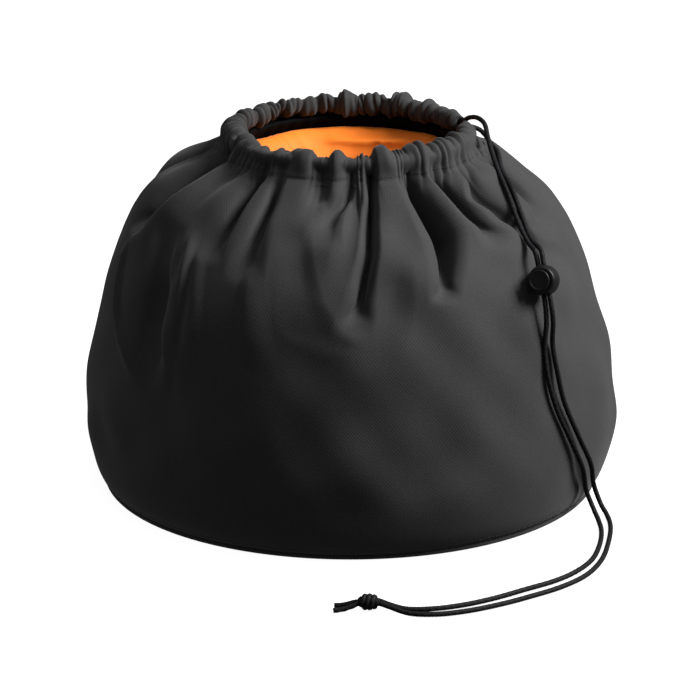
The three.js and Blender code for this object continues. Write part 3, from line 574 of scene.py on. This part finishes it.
def wallPanel(name, edges, footEdges, columns, node):
    along = np.concatenate([np.linspace(0, 0.5, 46)[:-1], np.linspace(0.5, 0.8, 44)[:-1],
        np.linspace(0.8, bag["hemAlong"] + 0.003, 62)])
    azimuths = []
    for share in along:
        slide = min(1, (1 - share) / 0.5)
        low, high = (e + (f - e) * slide for e, f in zip(edges, footEdges))
        azimuths.append(np.linspace(low, high, columns + 1))
    azimuths = np.array(azimuths)
    grid = wallPoints(azimuths, along[:, None])
    foot = [grid[0] * (1 - k, 1 - k, 1) - (0, 0, drop) for k, drop in ((0.022, 0.9), (0.012, 0.9), (0.004, 0.5))]
    top = [grid[-1] * (1 - k, 1 - k, 1) + (0, 0, lift) for k, lift in ((0.008, -0.1), (0.02, -0.3), (0.05, -0.3))]
    grid = np.concatenate([foot, grid, top])
    across = np.concatenate([np.zeros((len(grid), 1)), np.cumsum(np.linalg.norm(np.diff(grid, axis=1), axis=2),
        axis=1)], axis=1)
    across -= across[:, columns // 2:columns // 2 + 1]
    upward = np.concatenate([[0], np.cumsum(np.linalg.norm(np.diff(grid[:, columns // 2], axis=0), axis=1))])
    cloth = np.stack([across, np.broadcast_to(upward[:, None], across.shape)], axis=-1) * mm
    piece = gridPiece(name, grid, cloth)
    piece.data.materials.append(blackTwill)
    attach(piece, "bag")
    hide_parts(node)
    return piece


wallFront = wallPanel("wallFront", bag["seams"], bag["seamsFoot"], 620, "wall_front")
wallBack = wallPanel("wallBack", (bag["seams"][1], bag["seams"][0] + 360), (bag["seamsFoot"][1],
    bag["seamsFoot"][0] + 360), 420, "wall_back")
print("wall panels sewn")


# The casing is the wall's top edge folded over the drawcord and stitched down. Its outside runs on from the wall,
# so the folds climb over the lip, and the cloth puffs between the gathers.
casing = {
    "ends": (110.6, 457.2), "columns": 1500, "channel": 2.9, "middle": (88.5, 264.7), "endRound": 4,
    "puff": 2.2, "uneven": 0.8,
    "section": [(98.8, 256.6), (96.3, 260.6), (94, 265), (91.6, 269.2), (88, 272.2), (84, 272.6), (80.8, 270.4),
                (79.4, 266), (79.8, 261.6), (82.4, 258.8), (88, 256.6), (95, 253.6)],
}


def makeCasing():
    hems = (0.962, 0.974, bag["hemAlong"])
    foot = [(alongWall(outline[:, 0], h), alongWall(outline[:, 1], h)) for h in hems]
    section = np.vstack([foot[:2], smoothLine([foot[2]] + casing["section"], 46)])
    middle = np.array(casing["middle"])
    way = np.gradient(section, axis=0)
    way /= np.linalg.norm(way, axis=1)[:, None]
    up = np.concatenate([(0, 0), np.linspace(0, 1, len(section) - 2)])
    outer = smoothStep(up, 0.04, 0.3)[:, None]
    normal = np.array([[1, 0]]) * (1 - outer) + np.column_stack([way[:, 1], -way[:, 0]]) * outer
    normal /= np.linalg.norm(normal, axis=1)[:, None]
    low, high = casing["ends"]
    azimuth = np.linspace(low, high, casing["columns"])
    fromEnd = np.minimum(azimuth - low, high - azimuth) * math.radians(88.5)
    full = np.sqrt(1 - (1 - np.clip(fromEnd / casing["endRound"], 0, 1)) ** 2)
    inside = np.linspace(8, 0.4, 7)
    a = np.concatenate([low + inside, azimuth, high - inside[::-1]])[None, :]
    full = np.concatenate([np.zeros(7), full, np.zeros(7)])[None, :]
    rise = up[:, None]
    across = smoothStep(rise, 0, 0.26)
    fold = foldDepth(a, 257) * (1 - smoothStep(rise, 0.25, 0.7))
    flat = 1 - 0.35 * np.exp(-(turnBetween(a, 0) / 62) ** 4) * (1 - smoothStep(rise, 0.3, 0.6))
    puff = casing["puff"] * flat + casing["uneven"] * unevenness(3 * a, 0.2 * rise) - fold
    out = wallSwell(a, bag["hemAlong"]) * (1 - across) + (puff - 1.2 * gatherDepth(a, rise / 0.7)) * across
    for row, (along, sink) in enumerate(zip(hems, (1.4, 0.6, -0.05))):
        out[row] = wallSwell(a, along)[0] - sink
    spoke = section - middle
    reach = np.linalg.norm(spoke, axis=1)[:, None]
    spoke = spoke / reach
    least = casing["channel"] + 0.9 - reach + 0.4 * np.clip(1 + unevenness(6 * a, 0.4 * rise), 0, 2.5)
    out = np.where(rise > 0.05, least + np.logaddexp(0, (out - least) * 1.5) / 1.5, out)
    plain = casing["channel"] + (reach - casing["channel"]) * full
    radius = middle[0] + spoke[:, :1] * plain + normal[:, :1] * out * full
    height = middle[1] + spoke[:, 1:] * plain + normal[:, 1:] * out * full + rimTilt(a)
    height = height + 0.45 * unevenness(2 * a + 40, 0.3) * smoothStep(rise, 0.1, 0.4) * (rise < 0.76)
    last = int(0.78 * len(section))
    for values in (radius, height):
        values[last:] = values[last - 1] + (values[:1] - values[last - 1]) * np.linspace(0, 1,
            len(section) - last + 1)[1:, None]
    grid = around(a, radius, height)
    foot = np.array([wallPoints(a[0], along) for along in hems])
    outward = grid[2] * (1, 1, 0) / np.linalg.norm(grid[2, :, :2], axis=1)[:, None]
    shift = foot[2] + 0.05 * outward - grid[2]
    grid[:2] = foot[:2] - outward * np.array([1.4, 0.6])[:, None, None]
    grid[2:14] += shift * (1 - smoothStep(np.arange(12), 0, 12))[:, None, None]
    length = np.concatenate([[0], np.cumsum(np.linalg.norm(np.diff(section, axis=0), axis=1))])[:, None]
    cloth = np.stack(np.broadcast_arrays(np.radians(a) * 97 * 1.5, length), axis=-1) * mm
    piece = gridPiece("casing", grid, cloth, wrap=True)
    piece.data.materials.append(blackTwill)
    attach(piece, "bag")
    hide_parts("drawcord_casing")
    return grid[:, 7:-7]


casingGrid = makeCasing()
print("casing gathered")


# Seams: a thread that shows for 2.6 mm and dips into the cloth for 0.9 mm.
seam = {"thread": 0.24, "stitch": 3.5, "rise": 0.08, "sink": 0.45, "shown": 0.3}


def sewSeam(name, line, outward):
    count = int(lengthOf(line) / seam["stitch"]) * 7
    places = np.linspace(0, 1, len(line))
    at = np.linspace(0, 1, count)
    line, outward = (np.column_stack([np.interp(at, places,
        values[:, k]) for k in range(3)]) for values in (line, outward))
    along = np.concatenate([[0], np.cumsum(np.linalg.norm(np.diff(line, axis=0), axis=1))])
    dip = smoothStep(np.cos(2 * np.pi * along / seam["stitch"]), seam["shown"], 1)
    outward = outward / np.linalg.norm(outward, axis=1)[:, None]
    line = line + outward * (seam["rise"] - seam["sink"] * dip)[:, None]
    grid, cloth = tubeGrid(line, seam["thread"], 6, 0, 4, 5)
    piece = gridPiece(name, grid, cloth, wrap=True)
    piece.data.materials.append(sewingThread)
    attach(piece, "bag")


def sewSeams():
    row = casingGrid[4]
    outward = row * (1, 1, 0) / np.linalg.norm(row[:, :2], axis=1)[:, None] + (0, 0, 0.8)
    sewSeam("casingSeam", row, outward)
    azimuth = np.linspace(-180, 180, 721)
    foot = wallPoints(azimuth, 0.013)
    sewSeam("baseSeam", foot, foot * (1, 1, 0) / 187)


sewSeams()
print("seams sewn")


# The facing closes the mouth inside, down from the casing's foot; its hem is turned back.
facing = {
    "columns": 360,
    "path": [(94, 255.6), (86, 256.2), (82.6, 256), (82, 254.4), (83.4, 251.6), (86.4, 247.8), (90, 243.8),
        (92, 242.4),
             (92.6, 243.4), (88.6, 248), (85, 252.2), (84, 254.4), (86, 255), (94, 254.6)],
}


def makeFacing():
    path = smoothLine(facing["path"], 40)
    azimuth = np.linspace(0, 360, facing["columns"] + 1)
    share = np.linspace(0, 1, len(path))[:, None]
    hang = np.sin(np.pi * np.clip(share * 1.0, 0, 1)) ** 2
    wave = np.sin(np.radians(azimuth) * 41 + 1.2 * np.sin(np.radians(azimuth) * 5))[None, :]
    radius = path[:, :1] + 0.7 * hang * wave
    dip = np.minimum(0, wallSwell(azimuth, bag["hemAlong"]) + 4)[None, :] * smoothStep(path[:, :1], 80, 90)
    grid = around(azimuth[None, :], radius + 0.8 * dip, path[:, 1:] + rimTilt(azimuth)[None, :])
    cloth = np.stack(np.broadcast_arrays(np.radians(azimuth)[None, :] * 95, share * 44), axis=-1) * mm
    piece = gridPiece("facing", grid, cloth, wrap=True, outward=False)
    # The facing wears the near-black painted-shade backing, which paints the deep shadow inside the mouth.
    piece.data.materials.append(paintedShadeBacking)
    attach(piece, "bag")
    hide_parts("mouth_facing")


makeFacing()
print("facing hung")


# The lining hangs from the facing in a soft roll, then follows the wall down to the floor of the bag.
lining = {
    "columns": 260, "rows": 120, "thickness": 1.6,
    "clear": 4,
    "path": [(0, 4.5), (90, 4.5), (168.2, 4.5), (182, 10), (187.6, 20), (192.1, 42.7), (190.1, 89.5),
        (175, 141.2),
             (154, 190.6), (128, 198), (100.4, 201.9), (80, 206), (65, 212), (57.6, 221), (57.4, 229),
             (61.5, 234),
             (66, 237.4), (71, 242.4), (77, 246.4), (83.5, 247.4), (90, 244)],
    # creases across the roll: azimuth, depth, half width, and where on the path
    "creases": [(167, 5.4, 26, 0.947), (-138, 1.6, 12, 0.93), (120, 2, 14, 0.9), (60, 2, 16, 0.9),
        (-70, 2, 16, 0.9), (0, 2, 22, 0.9)],
    # fine wrinkles that run over the roll: azimuth, depth, half width
    "wrinkles": [(-141, 0.7, 1.6), (-136, 0.9, 1.3), (-131, 0.8, 1.5), (-126, 1, 1.4), (-121, 0.9, 1.8),
        (-150, 0.4, 2.4), (122, 0.8, 1.6),
                 (129, 0.9, 1.5), (135, 0.5, 2), (160, 0.3, 3), (-170, 0.3, 3), (100, 1, 1.8), (80, 1, 2),
                 (-100, 1, 2), (-82, 1, 2), (30, 1, 2), (-30, 1, 2)],
}


def insideWall(azimuth, radius, height, share):
    wall = wallPoints(azimuth.T, np.linspace(0.03, bag["hemAlong"], 180)[None, :])
    wallRadius, wallHeight = np.hypot(wall[..., 0], wall[..., 1]), wall[..., 2]
    for column in range(azimuth.shape[1]):
        line = np.column_stack([wallRadius[column], wallHeight[column]])
        way = np.gradient(line, axis=0)
        normal = np.column_stack([-way[:, 1], way[:, 0]]) / np.linalg.norm(way, axis=1)[:, None]
        points = np.column_stack([radius[:, column], height[:, column]])
        away = points[:, None] - line[None]
        nearest = (away ** 2).sum(-1).argmin(1)
        depth = (away[np.arange(len(points)), nearest] * normal[nearest]).sum(-1)
        push = np.clip(lining["clear"] - depth, 0, 40) * (share > 0.3)
        push = np.maximum(push, softened(push, 2))
        radius[:, column] += normal[nearest, 0] * push
        height[:, column] += normal[nearest, 1] * push
    return radius, height


def makeLining():
    path = smoothLine(lining["path"], 900)
    along = np.concatenate([[0], np.cumsum(np.linalg.norm(np.diff(path, axis=0), axis=1))])
    share = along / along[-1]
    dense = np.cumsum(1 + 5 * smoothStep(share, 0.62, 0.8))
    pick = np.interp(np.linspace(dense[0], dense[-1], lining["rows"] + 1), dense, np.arange(len(dense)))
    path = np.column_stack([np.interp(pick, np.arange(len(path)), path[:, k]) for k in (0, 1)])
    share = np.interp(pick, np.arange(len(share)), share)
    way = np.gradient(path, axis=0)
    way /= np.linalg.norm(way, axis=1)[:, None]
    azimuth = np.linspace(0, 360, lining["columns"] + 1)[None, :]
    ripple = 1.6 * unevenness(azimuth,
        share[:, None]) * (smoothStep(share, 0.28, 0.5) * (1 - 0.85 * smoothStep(share, 0.78, 0.9)))[:, None]
    roll = (smoothStep(share, 0.74, 0.85) * (1 - smoothStep(share, 0.975, 1)))[:, None]
    for middle, deep, wide, place in lining["creases"]:
        off = turnBetween(azimuth, middle) / wide
        bow = place + 0.008 * off * off - 0.004 * off
        ripple = ripple + deep * np.exp(-off ** 4 - np.abs((share[:, None] - bow) / 0.0065) ** 1.3)
    for middle, deep, wide in lining["wrinkles"]:
        ripple = ripple + deep * np.exp(-(turnBetween(azimuth,
            middle + 40 * (share[:, None] - 0.93)) / wide) ** 2) * roll
    radius = path[:, :1] - way[:, 1:] * ripple
    height = path[:, 1:] + way[:, :1] * ripple + rimTilt(azimuth) * smoothStep(share, 0.75, 1)[:, None]
    radius, height = insideWall(azimuth, radius, height, share)
    grid = around(azimuth, np.maximum(radius, 0), height)
    length = np.interp(share, (0, 1), (0, along[-1]))[:, None]
    cloth = np.stack(np.broadcast_arrays(np.radians(azimuth) * 150, length), axis=-1) * mm
    piece = gridPiece("lining", grid, cloth, wrap=True, outward=False)
    bpy.ops.object.modifier_add(type="SOLIDIFY")
    piece.modifiers[-1].thickness = lining["thickness"] * mm
    piece.modifiers[-1].offset = -1
    bpy.ops.object.modifier_apply(modifier=piece.modifiers[-1].name)
    piece.data.materials.append(orangeTaffeta)
    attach(piece, "bag")
    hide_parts("lining_floor", "lining_side_lower", "lining_side_upper", "lining_collar")


makeLining()
print("lining hung")


# The base is a stiffened round of the same cloth, with a piped seam to the wall.
base = {"radius": 183, "thickness": 3, "round": 0.9, "columns": 240, "weltRadius": 185.3, "weltSize": 1.9,
    "weltHeight": 2.1}


def makeBase():
    r, t, e = base["radius"], base["thickness"], base["round"]
    path = np.array([(0, t)] + [(x, t) for x in np.linspace(r * 0.12, r - e, 9)] + [(r - e * 0.3, t - e * 0.3),
        (r, t / 2), (r - e * 0.3, e * 0.3)]
                    + [(x, 0) for x in np.linspace(r - e, r * 0.12, 9)] + [(0, 0)], float)
    azimuth = np.linspace(0, 360, base["columns"] + 1)
    grid = around(azimuth[None, :], path[:, :1], path[:, 1:])
    piece = gridPiece("basePanel", grid, grid[..., :2] * mm, wrap=True, outward=False)
    piece.data.materials.append(blackTwill)
    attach(piece, "bag")
    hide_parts("base_panel")
    turn = np.linspace(0, 2 * np.pi, 13)
    azimuth = np.linspace(0, 360, 361)
    ring = around(azimuth[None, :], base["weltRadius"] + base["weltSize"] * 0.95 * np.cos(turn)[:, None],
        base["weltHeight"] + base["weltSize"] * np.sin(turn)[:, None])
    cloth = np.stack(np.broadcast_arrays(np.radians(azimuth)[None, :] * 185, turn[:, None] * 1.65), axis=-1) * mm
    welt = gridPiece("baseWelt", ring, cloth, wrap=True)
    welt.data.materials.append(blackTwill)
    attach(welt, "bag")
    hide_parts("base_welt")


makeBase()
print("base sewn in")


# Cord ring inside the casing, from one end of the opening round to the other.
ringAzimuths = np.linspace(111.7, 456.3, 360)
ringLine = around(ringAzimuths, 88.5, 264.7 + rimTilt(ringAzimuths))
cordPiece("cordRing", ringLine, "drawcord_ring", 0.1)


# The cord lock. Its own Z is the way the button points; the strands run through along Y.
lock = {
    "centre": (137, -122.4, 187), "axis": (-0.319499, -0.908576, 0.269577), "way": (0.18, -0.33, -0.925),
    "radius": 11, "length": 18, "frontShare": 0.87, "backShare": 0.8, "round": 2.2, "bore": 6.65,
        "boreDepth": 15.6,
    "slotWide": 8.6, "slotHigh": 4.5, 
    "buttonRadius": 7.5, "buttonHeight": 2.2, "face": 12.1, "plunger": 6.3, "plungerLength": 12, "travel": 2.6,
}


def lockPlace():
    axis = Vector(lock["axis"]).normalized()
    side = axis.cross(Vector(lock["way"])).normalized()
    up = axis.cross(side)
    turn = Matrix((side, up, axis)).transposed().to_4x4()
    return Matrix.Translation(Vector(lock["centre"]) * mm) @ turn


def start(kind, name, **settings):
    bpy.ops.object.select_all(action="DESELECT")
    getattr(bpy.ops.mesh, "primitive_" + kind + "_add")(**settings)
    piece = bpy.context.object
    piece.name = piece.data.name = name
    return piece


def pick(piece, mode, test):
    bpy.ops.object.mode_set(mode="EDIT")
    bpy.ops.mesh.select_all(action="DESELECT")
    bpy.ops.mesh.select_mode(type=mode)
    bpy.ops.object.mode_set(mode="OBJECT")
    parts = {"VERT": piece.data.vertices, "EDGE": piece.data.edges, "FACE": piece.data.polygons}[mode]
    for part in parts:
        part.select = bool(test(part))
    bpy.ops.object.mode_set(mode="EDIT")


def applyAll(piece):
    bpy.context.view_layer.objects.active = piece
    for modifier in list(piece.modifiers):
        bpy.ops.object.modifier_apply(modifier=modifier.name)


def slotCutter(extra, shift):
    cutter = start("cube", "slotCutter", size=1)
    cutter.scale = (lock["slotWide"] * mm, 60 * mm, (lock["slotHigh"] + extra) * mm)
    cutter.location = (0, 0, shift * mm)
    bpy.ops.object.transform_apply(location=True, rotation=True, scale=True)
    points = cutter.data.vertices
    pick(cutter, "EDGE", lambda e: abs(points[e.vertices[0]].co.y - points[e.vertices[1]].co.y) > 0.01)
    bpy.ops.mesh.bevel(offset=2.2 * mm, segments=5)
    bpy.ops.object.mode_set(mode="OBJECT")
    return cutter


def cutSlot(piece, extra, shift):
    cutter = slotCutter(extra, shift)
    bpy.ops.object.select_all(action="DESELECT")
    piece.select_set(True)
    bpy.context.view_layer.objects.active = piece
    cut = piece.modifiers.new("slot", "BOOLEAN")
    cut.object, cut.operation, cut.solver = cutter, "DIFFERENCE", "EXACT"
    edge = piece.modifiers.new("slotEdge", "BEVEL")
    edge.width, edge.segments, edge.limit_method, edge.angle_limit = 0.25 * mm, 2, "ANGLE", math.radians(50)
    applyAll(piece)
    bpy.data.objects.remove(cutter)


def finishLock(piece, body, node):
    piece.data.transform(lockPlace())
    bpy.ops.object.select_all(action="DESELECT")
    piece.select_set(True)
    bpy.context.view_layer.objects.active = piece
    bpy.ops.object.shade_smooth_by_angle(angle=math.radians(35))
    piece.data.materials.append(mouldedAcetal)
    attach(piece, body)
    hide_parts(node)
    return piece


def makeLockBody():
    half = lock["length"] / 2 * mm
    piece = start("cylinder", "lockBody", vertices=72, radius=lock["radius"] * mm, depth=lock["length"] * mm)
    for level in (-2.4, 2.4):
        pick(piece, "FACE", lambda f: True)
        bpy.ops.mesh.bisect(plane_co=(0, 0, level * mm), plane_no=(0, 0, 1))
    for sign, share in ((1, lock["frontShare"]), (-1, lock["backShare"])):
        pick(piece, "VERT", lambda v: v.co.z * sign > half * 0.99)
        bpy.ops.transform.resize(value=(share, share, 1))
    points = piece.data.vertices
    bpy.ops.object.mode_set(mode="OBJECT")
    pick(piece, "EDGE", lambda e: all(points[i].co.z < -half * 0.99 for i in e.vertices))
    bpy.ops.mesh.bevel(offset=lock["round"] * mm, segments=5)
    bpy.ops.object.mode_set(mode="OBJECT")
    points = piece.data.vertices
    pick(piece, "EDGE", lambda e: all(points[i].co.z > half * 0.99 for i in e.vertices))
    bpy.ops.mesh.bevel(offset=1.1 * mm, segments=4)
    pick(piece, "FACE", lambda f: f.normal.z > 0.99 and f.center.z > half * 0.98)
    rim = max(math.hypot(piece.data.vertices[i].co.x,
        piece.data.vertices[i].co.y) for f in piece.data.polygons if f.select for i in f.vertices)
    bpy.ops.mesh.inset(thickness=rim - lock["bore"] * mm)
    bpy.ops.mesh.extrude_region_move(TRANSFORM_OT_translate={"value": (0, 0, -lock["boreDepth"] * mm)})
    bpy.ops.object.mode_set(mode="OBJECT")
    cutSlot(piece, 0, 0)
    return finishLock(piece, "bag", "cord_lock_body")


def makeLockButton():
    face, height = lock["face"] - 0.5, lock["buttonHeight"]
    low = lock["length"] / 2 - lock["plungerLength"]
    piece = start("cylinder", "lockButton", vertices=64, radius=lock["plunger"] * mm,
        depth=(lock["face"] - low) * mm,
                  location=(0, 0, (lock["face"] + low) / 2 * mm))
    bpy.ops.object.transform_apply(location=True, rotation=True, scale=True)
    top = lock["face"] * mm
    pick(piece, "FACE", lambda f: f.normal.z > 0.99)
    bpy.ops.mesh.extrude_region_move(TRANSFORM_OT_translate={"value": (0, 0, 0.02 * mm)})
    share = lock["buttonRadius"] / lock["plunger"]
    bpy.ops.transform.resize(value=(share, share, 1))
    bpy.ops.mesh.extrude_region_move(TRANSFORM_OT_translate={"value": (0, 0, (height - 0.02) * mm)})
    bpy.ops.object.mode_set(mode="OBJECT")
    points = piece.data.vertices
    pick(piece, "EDGE", lambda e: all(points[i].co.z > top + (height - 0.1) * mm for i in e.vertices))
    bpy.ops.mesh.bevel(offset=0.7 * mm, segments=4)
    pick(piece, "FACE", lambda f: f.normal.z > 0.99 and f.center.z > top + (height - 0.1) * mm)
    bpy.ops.mesh.inset(thickness=0.5 * mm)
    bpy.ops.mesh.inset(thickness=0.35 * mm, depth=-0.25 * mm)
    bpy.ops.object.mode_set(mode="OBJECT")
    cutSlot(piece, lock["travel"], lock["travel"] / 2)
    return finishLock(piece, "button", "cord_lock_button")


lockBody = makeLockBody()
lockButton = makeLockButton()
print("cord lock moulded")


# The knot: both strands wrap round each other, then end in two short tails.
knot = {
    "centre": (12.6, -276.6, 6.2), "wrap": 4.05, "turns": 1.55, "from": 17.4, "to": 7.4,
    "starts": [(20.4, -274.8, 6), (20, -278.9, 6.1)],
    "tails": [[(4.6, -275, 5.4), (0, -274.2, 4), (-5, -273.7, 2.6), (-10.6, -273.2, 2.1)],
              [(4.4, -278.4, 5.2), (0, -279.6, 3.8), (-5, -280.7, 2.5), (-11.2, -281.8, 2.1)]],
}


def makeKnot():
    parts = []
    cx, cy, cz = knot["centre"]
    for number, (first, tail) in enumerate(zip(knot["starts"], knot["tails"])):
        points = [first]
        for t in np.linspace(0, 1, 15):
            turn = 2 * math.pi * (knot["turns"] * t + 0.5 * number) + 0.4
            wide = knot["wrap"] * (0.55 + 0.45 * math.sin(math.pi * min(1, max(0, t))) ** 0.35)
            points.append((knot["from"] + (knot["to"] - knot["from"]) * t, cy + wide * math.cos(turn),
                cz + wide * math.sin(turn)))
        points += tail
        line = smoothLine(points, 160)
        grid, cloth = tubeGrid(line, cord["diameter"] / 2, cord["sides"], cord["relief"], cord["carriers"],
            cord["lay"])
        parts.append(gridPiece("knotStrand%d" % number, grid, cloth, wrap=True))
    core = smoothLine([(18.5, cy, cz), (12, cy, cz), (6.5, cy, cz)], 20)
    grid, cloth = tubeGrid(core, 2.5, 12, 0, 4, 5)
    parts.append(gridPiece("knotCore", grid, cloth, wrap=True))
    bpy.ops.object.select_all(action="DESELECT")
    for part in parts:
        part.select_set(True)
    bpy.context.view_layer.objects.active = parts[0]
    bpy.ops.object.join()
    piece = bpy.context.object
    piece.name = piece.data.name = "cordKnot"
    piece.data.materials.append(braidedPolyester)
    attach(piece, "bag")
    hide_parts("cord_knot")
    return piece


cordKnot = makeKnot()
print("knot tied")


# Floor and soft studio light.
studio = {
    "floor": "#8c8c8c", "floorGlow": 0.96, "air": "#ffffff", "airStrength": 0.135,
    "lamps": [  # name, azimuth, elevation, distance, size, power
        ("keyRight", 82, 42, 2.4, 1.0, 115),
        ("topSoft", 20, 78, 2.2, 1.4, 6),
        ("leftSoft", -62, 34, 2.8, 1.2, 1.5),
        ("rimLeft", -115, 20, 2.6, 1.2, 1.5),
    ],
}


def lightScene():
    floor = start("grid", "floor", x_subdivisions=4, y_subdivisions=4, size=14)
    floor.location = (0, 2, -0.0004)
    white, _, _ = newMaterial("lightTable", {
        "Base Color": toLinear(studio["floor"]), "Roughness": 0.9, "Specular IOR Level": 0,
        "Emission Color": toLinear(studio["air"]), "Emission Strength": studio["floorGlow"],
    })
    floor.data.materials.append(white)
    floor.visible_diffuse = floor.visible_glossy = False
    world = bpy.data.worlds.new("air")
    world.use_nodes = True
    world.node_tree.nodes["Background"].inputs["Color"].default_value = toLinear(studio["air"])
    world.node_tree.nodes["Background"].inputs["Strength"].default_value = studio["airStrength"]
    bpy.context.scene.world = world
    aim = Vector((0, 0, 0.12))
    for name, azimuth, elevation, distance, size, power in studio["lamps"]:
        a, e = math.radians(azimuth), math.radians(elevation)
        way = Vector((math.sin(a) * math.cos(e), -math.cos(a) * math.cos(e), math.sin(e)))
        bpy.ops.object.light_add(type="AREA", location=aim + way * distance,
            rotation=(-way).to_track_quat("-Z", "Y").to_euler())
        lamp = bpy.context.object
        lamp.name = name
        lamp.data.size, lamp.data.energy = size, power
    bpy.context.scene.view_settings.view_transform = "Standard"


lightScene()
print("studio lit")
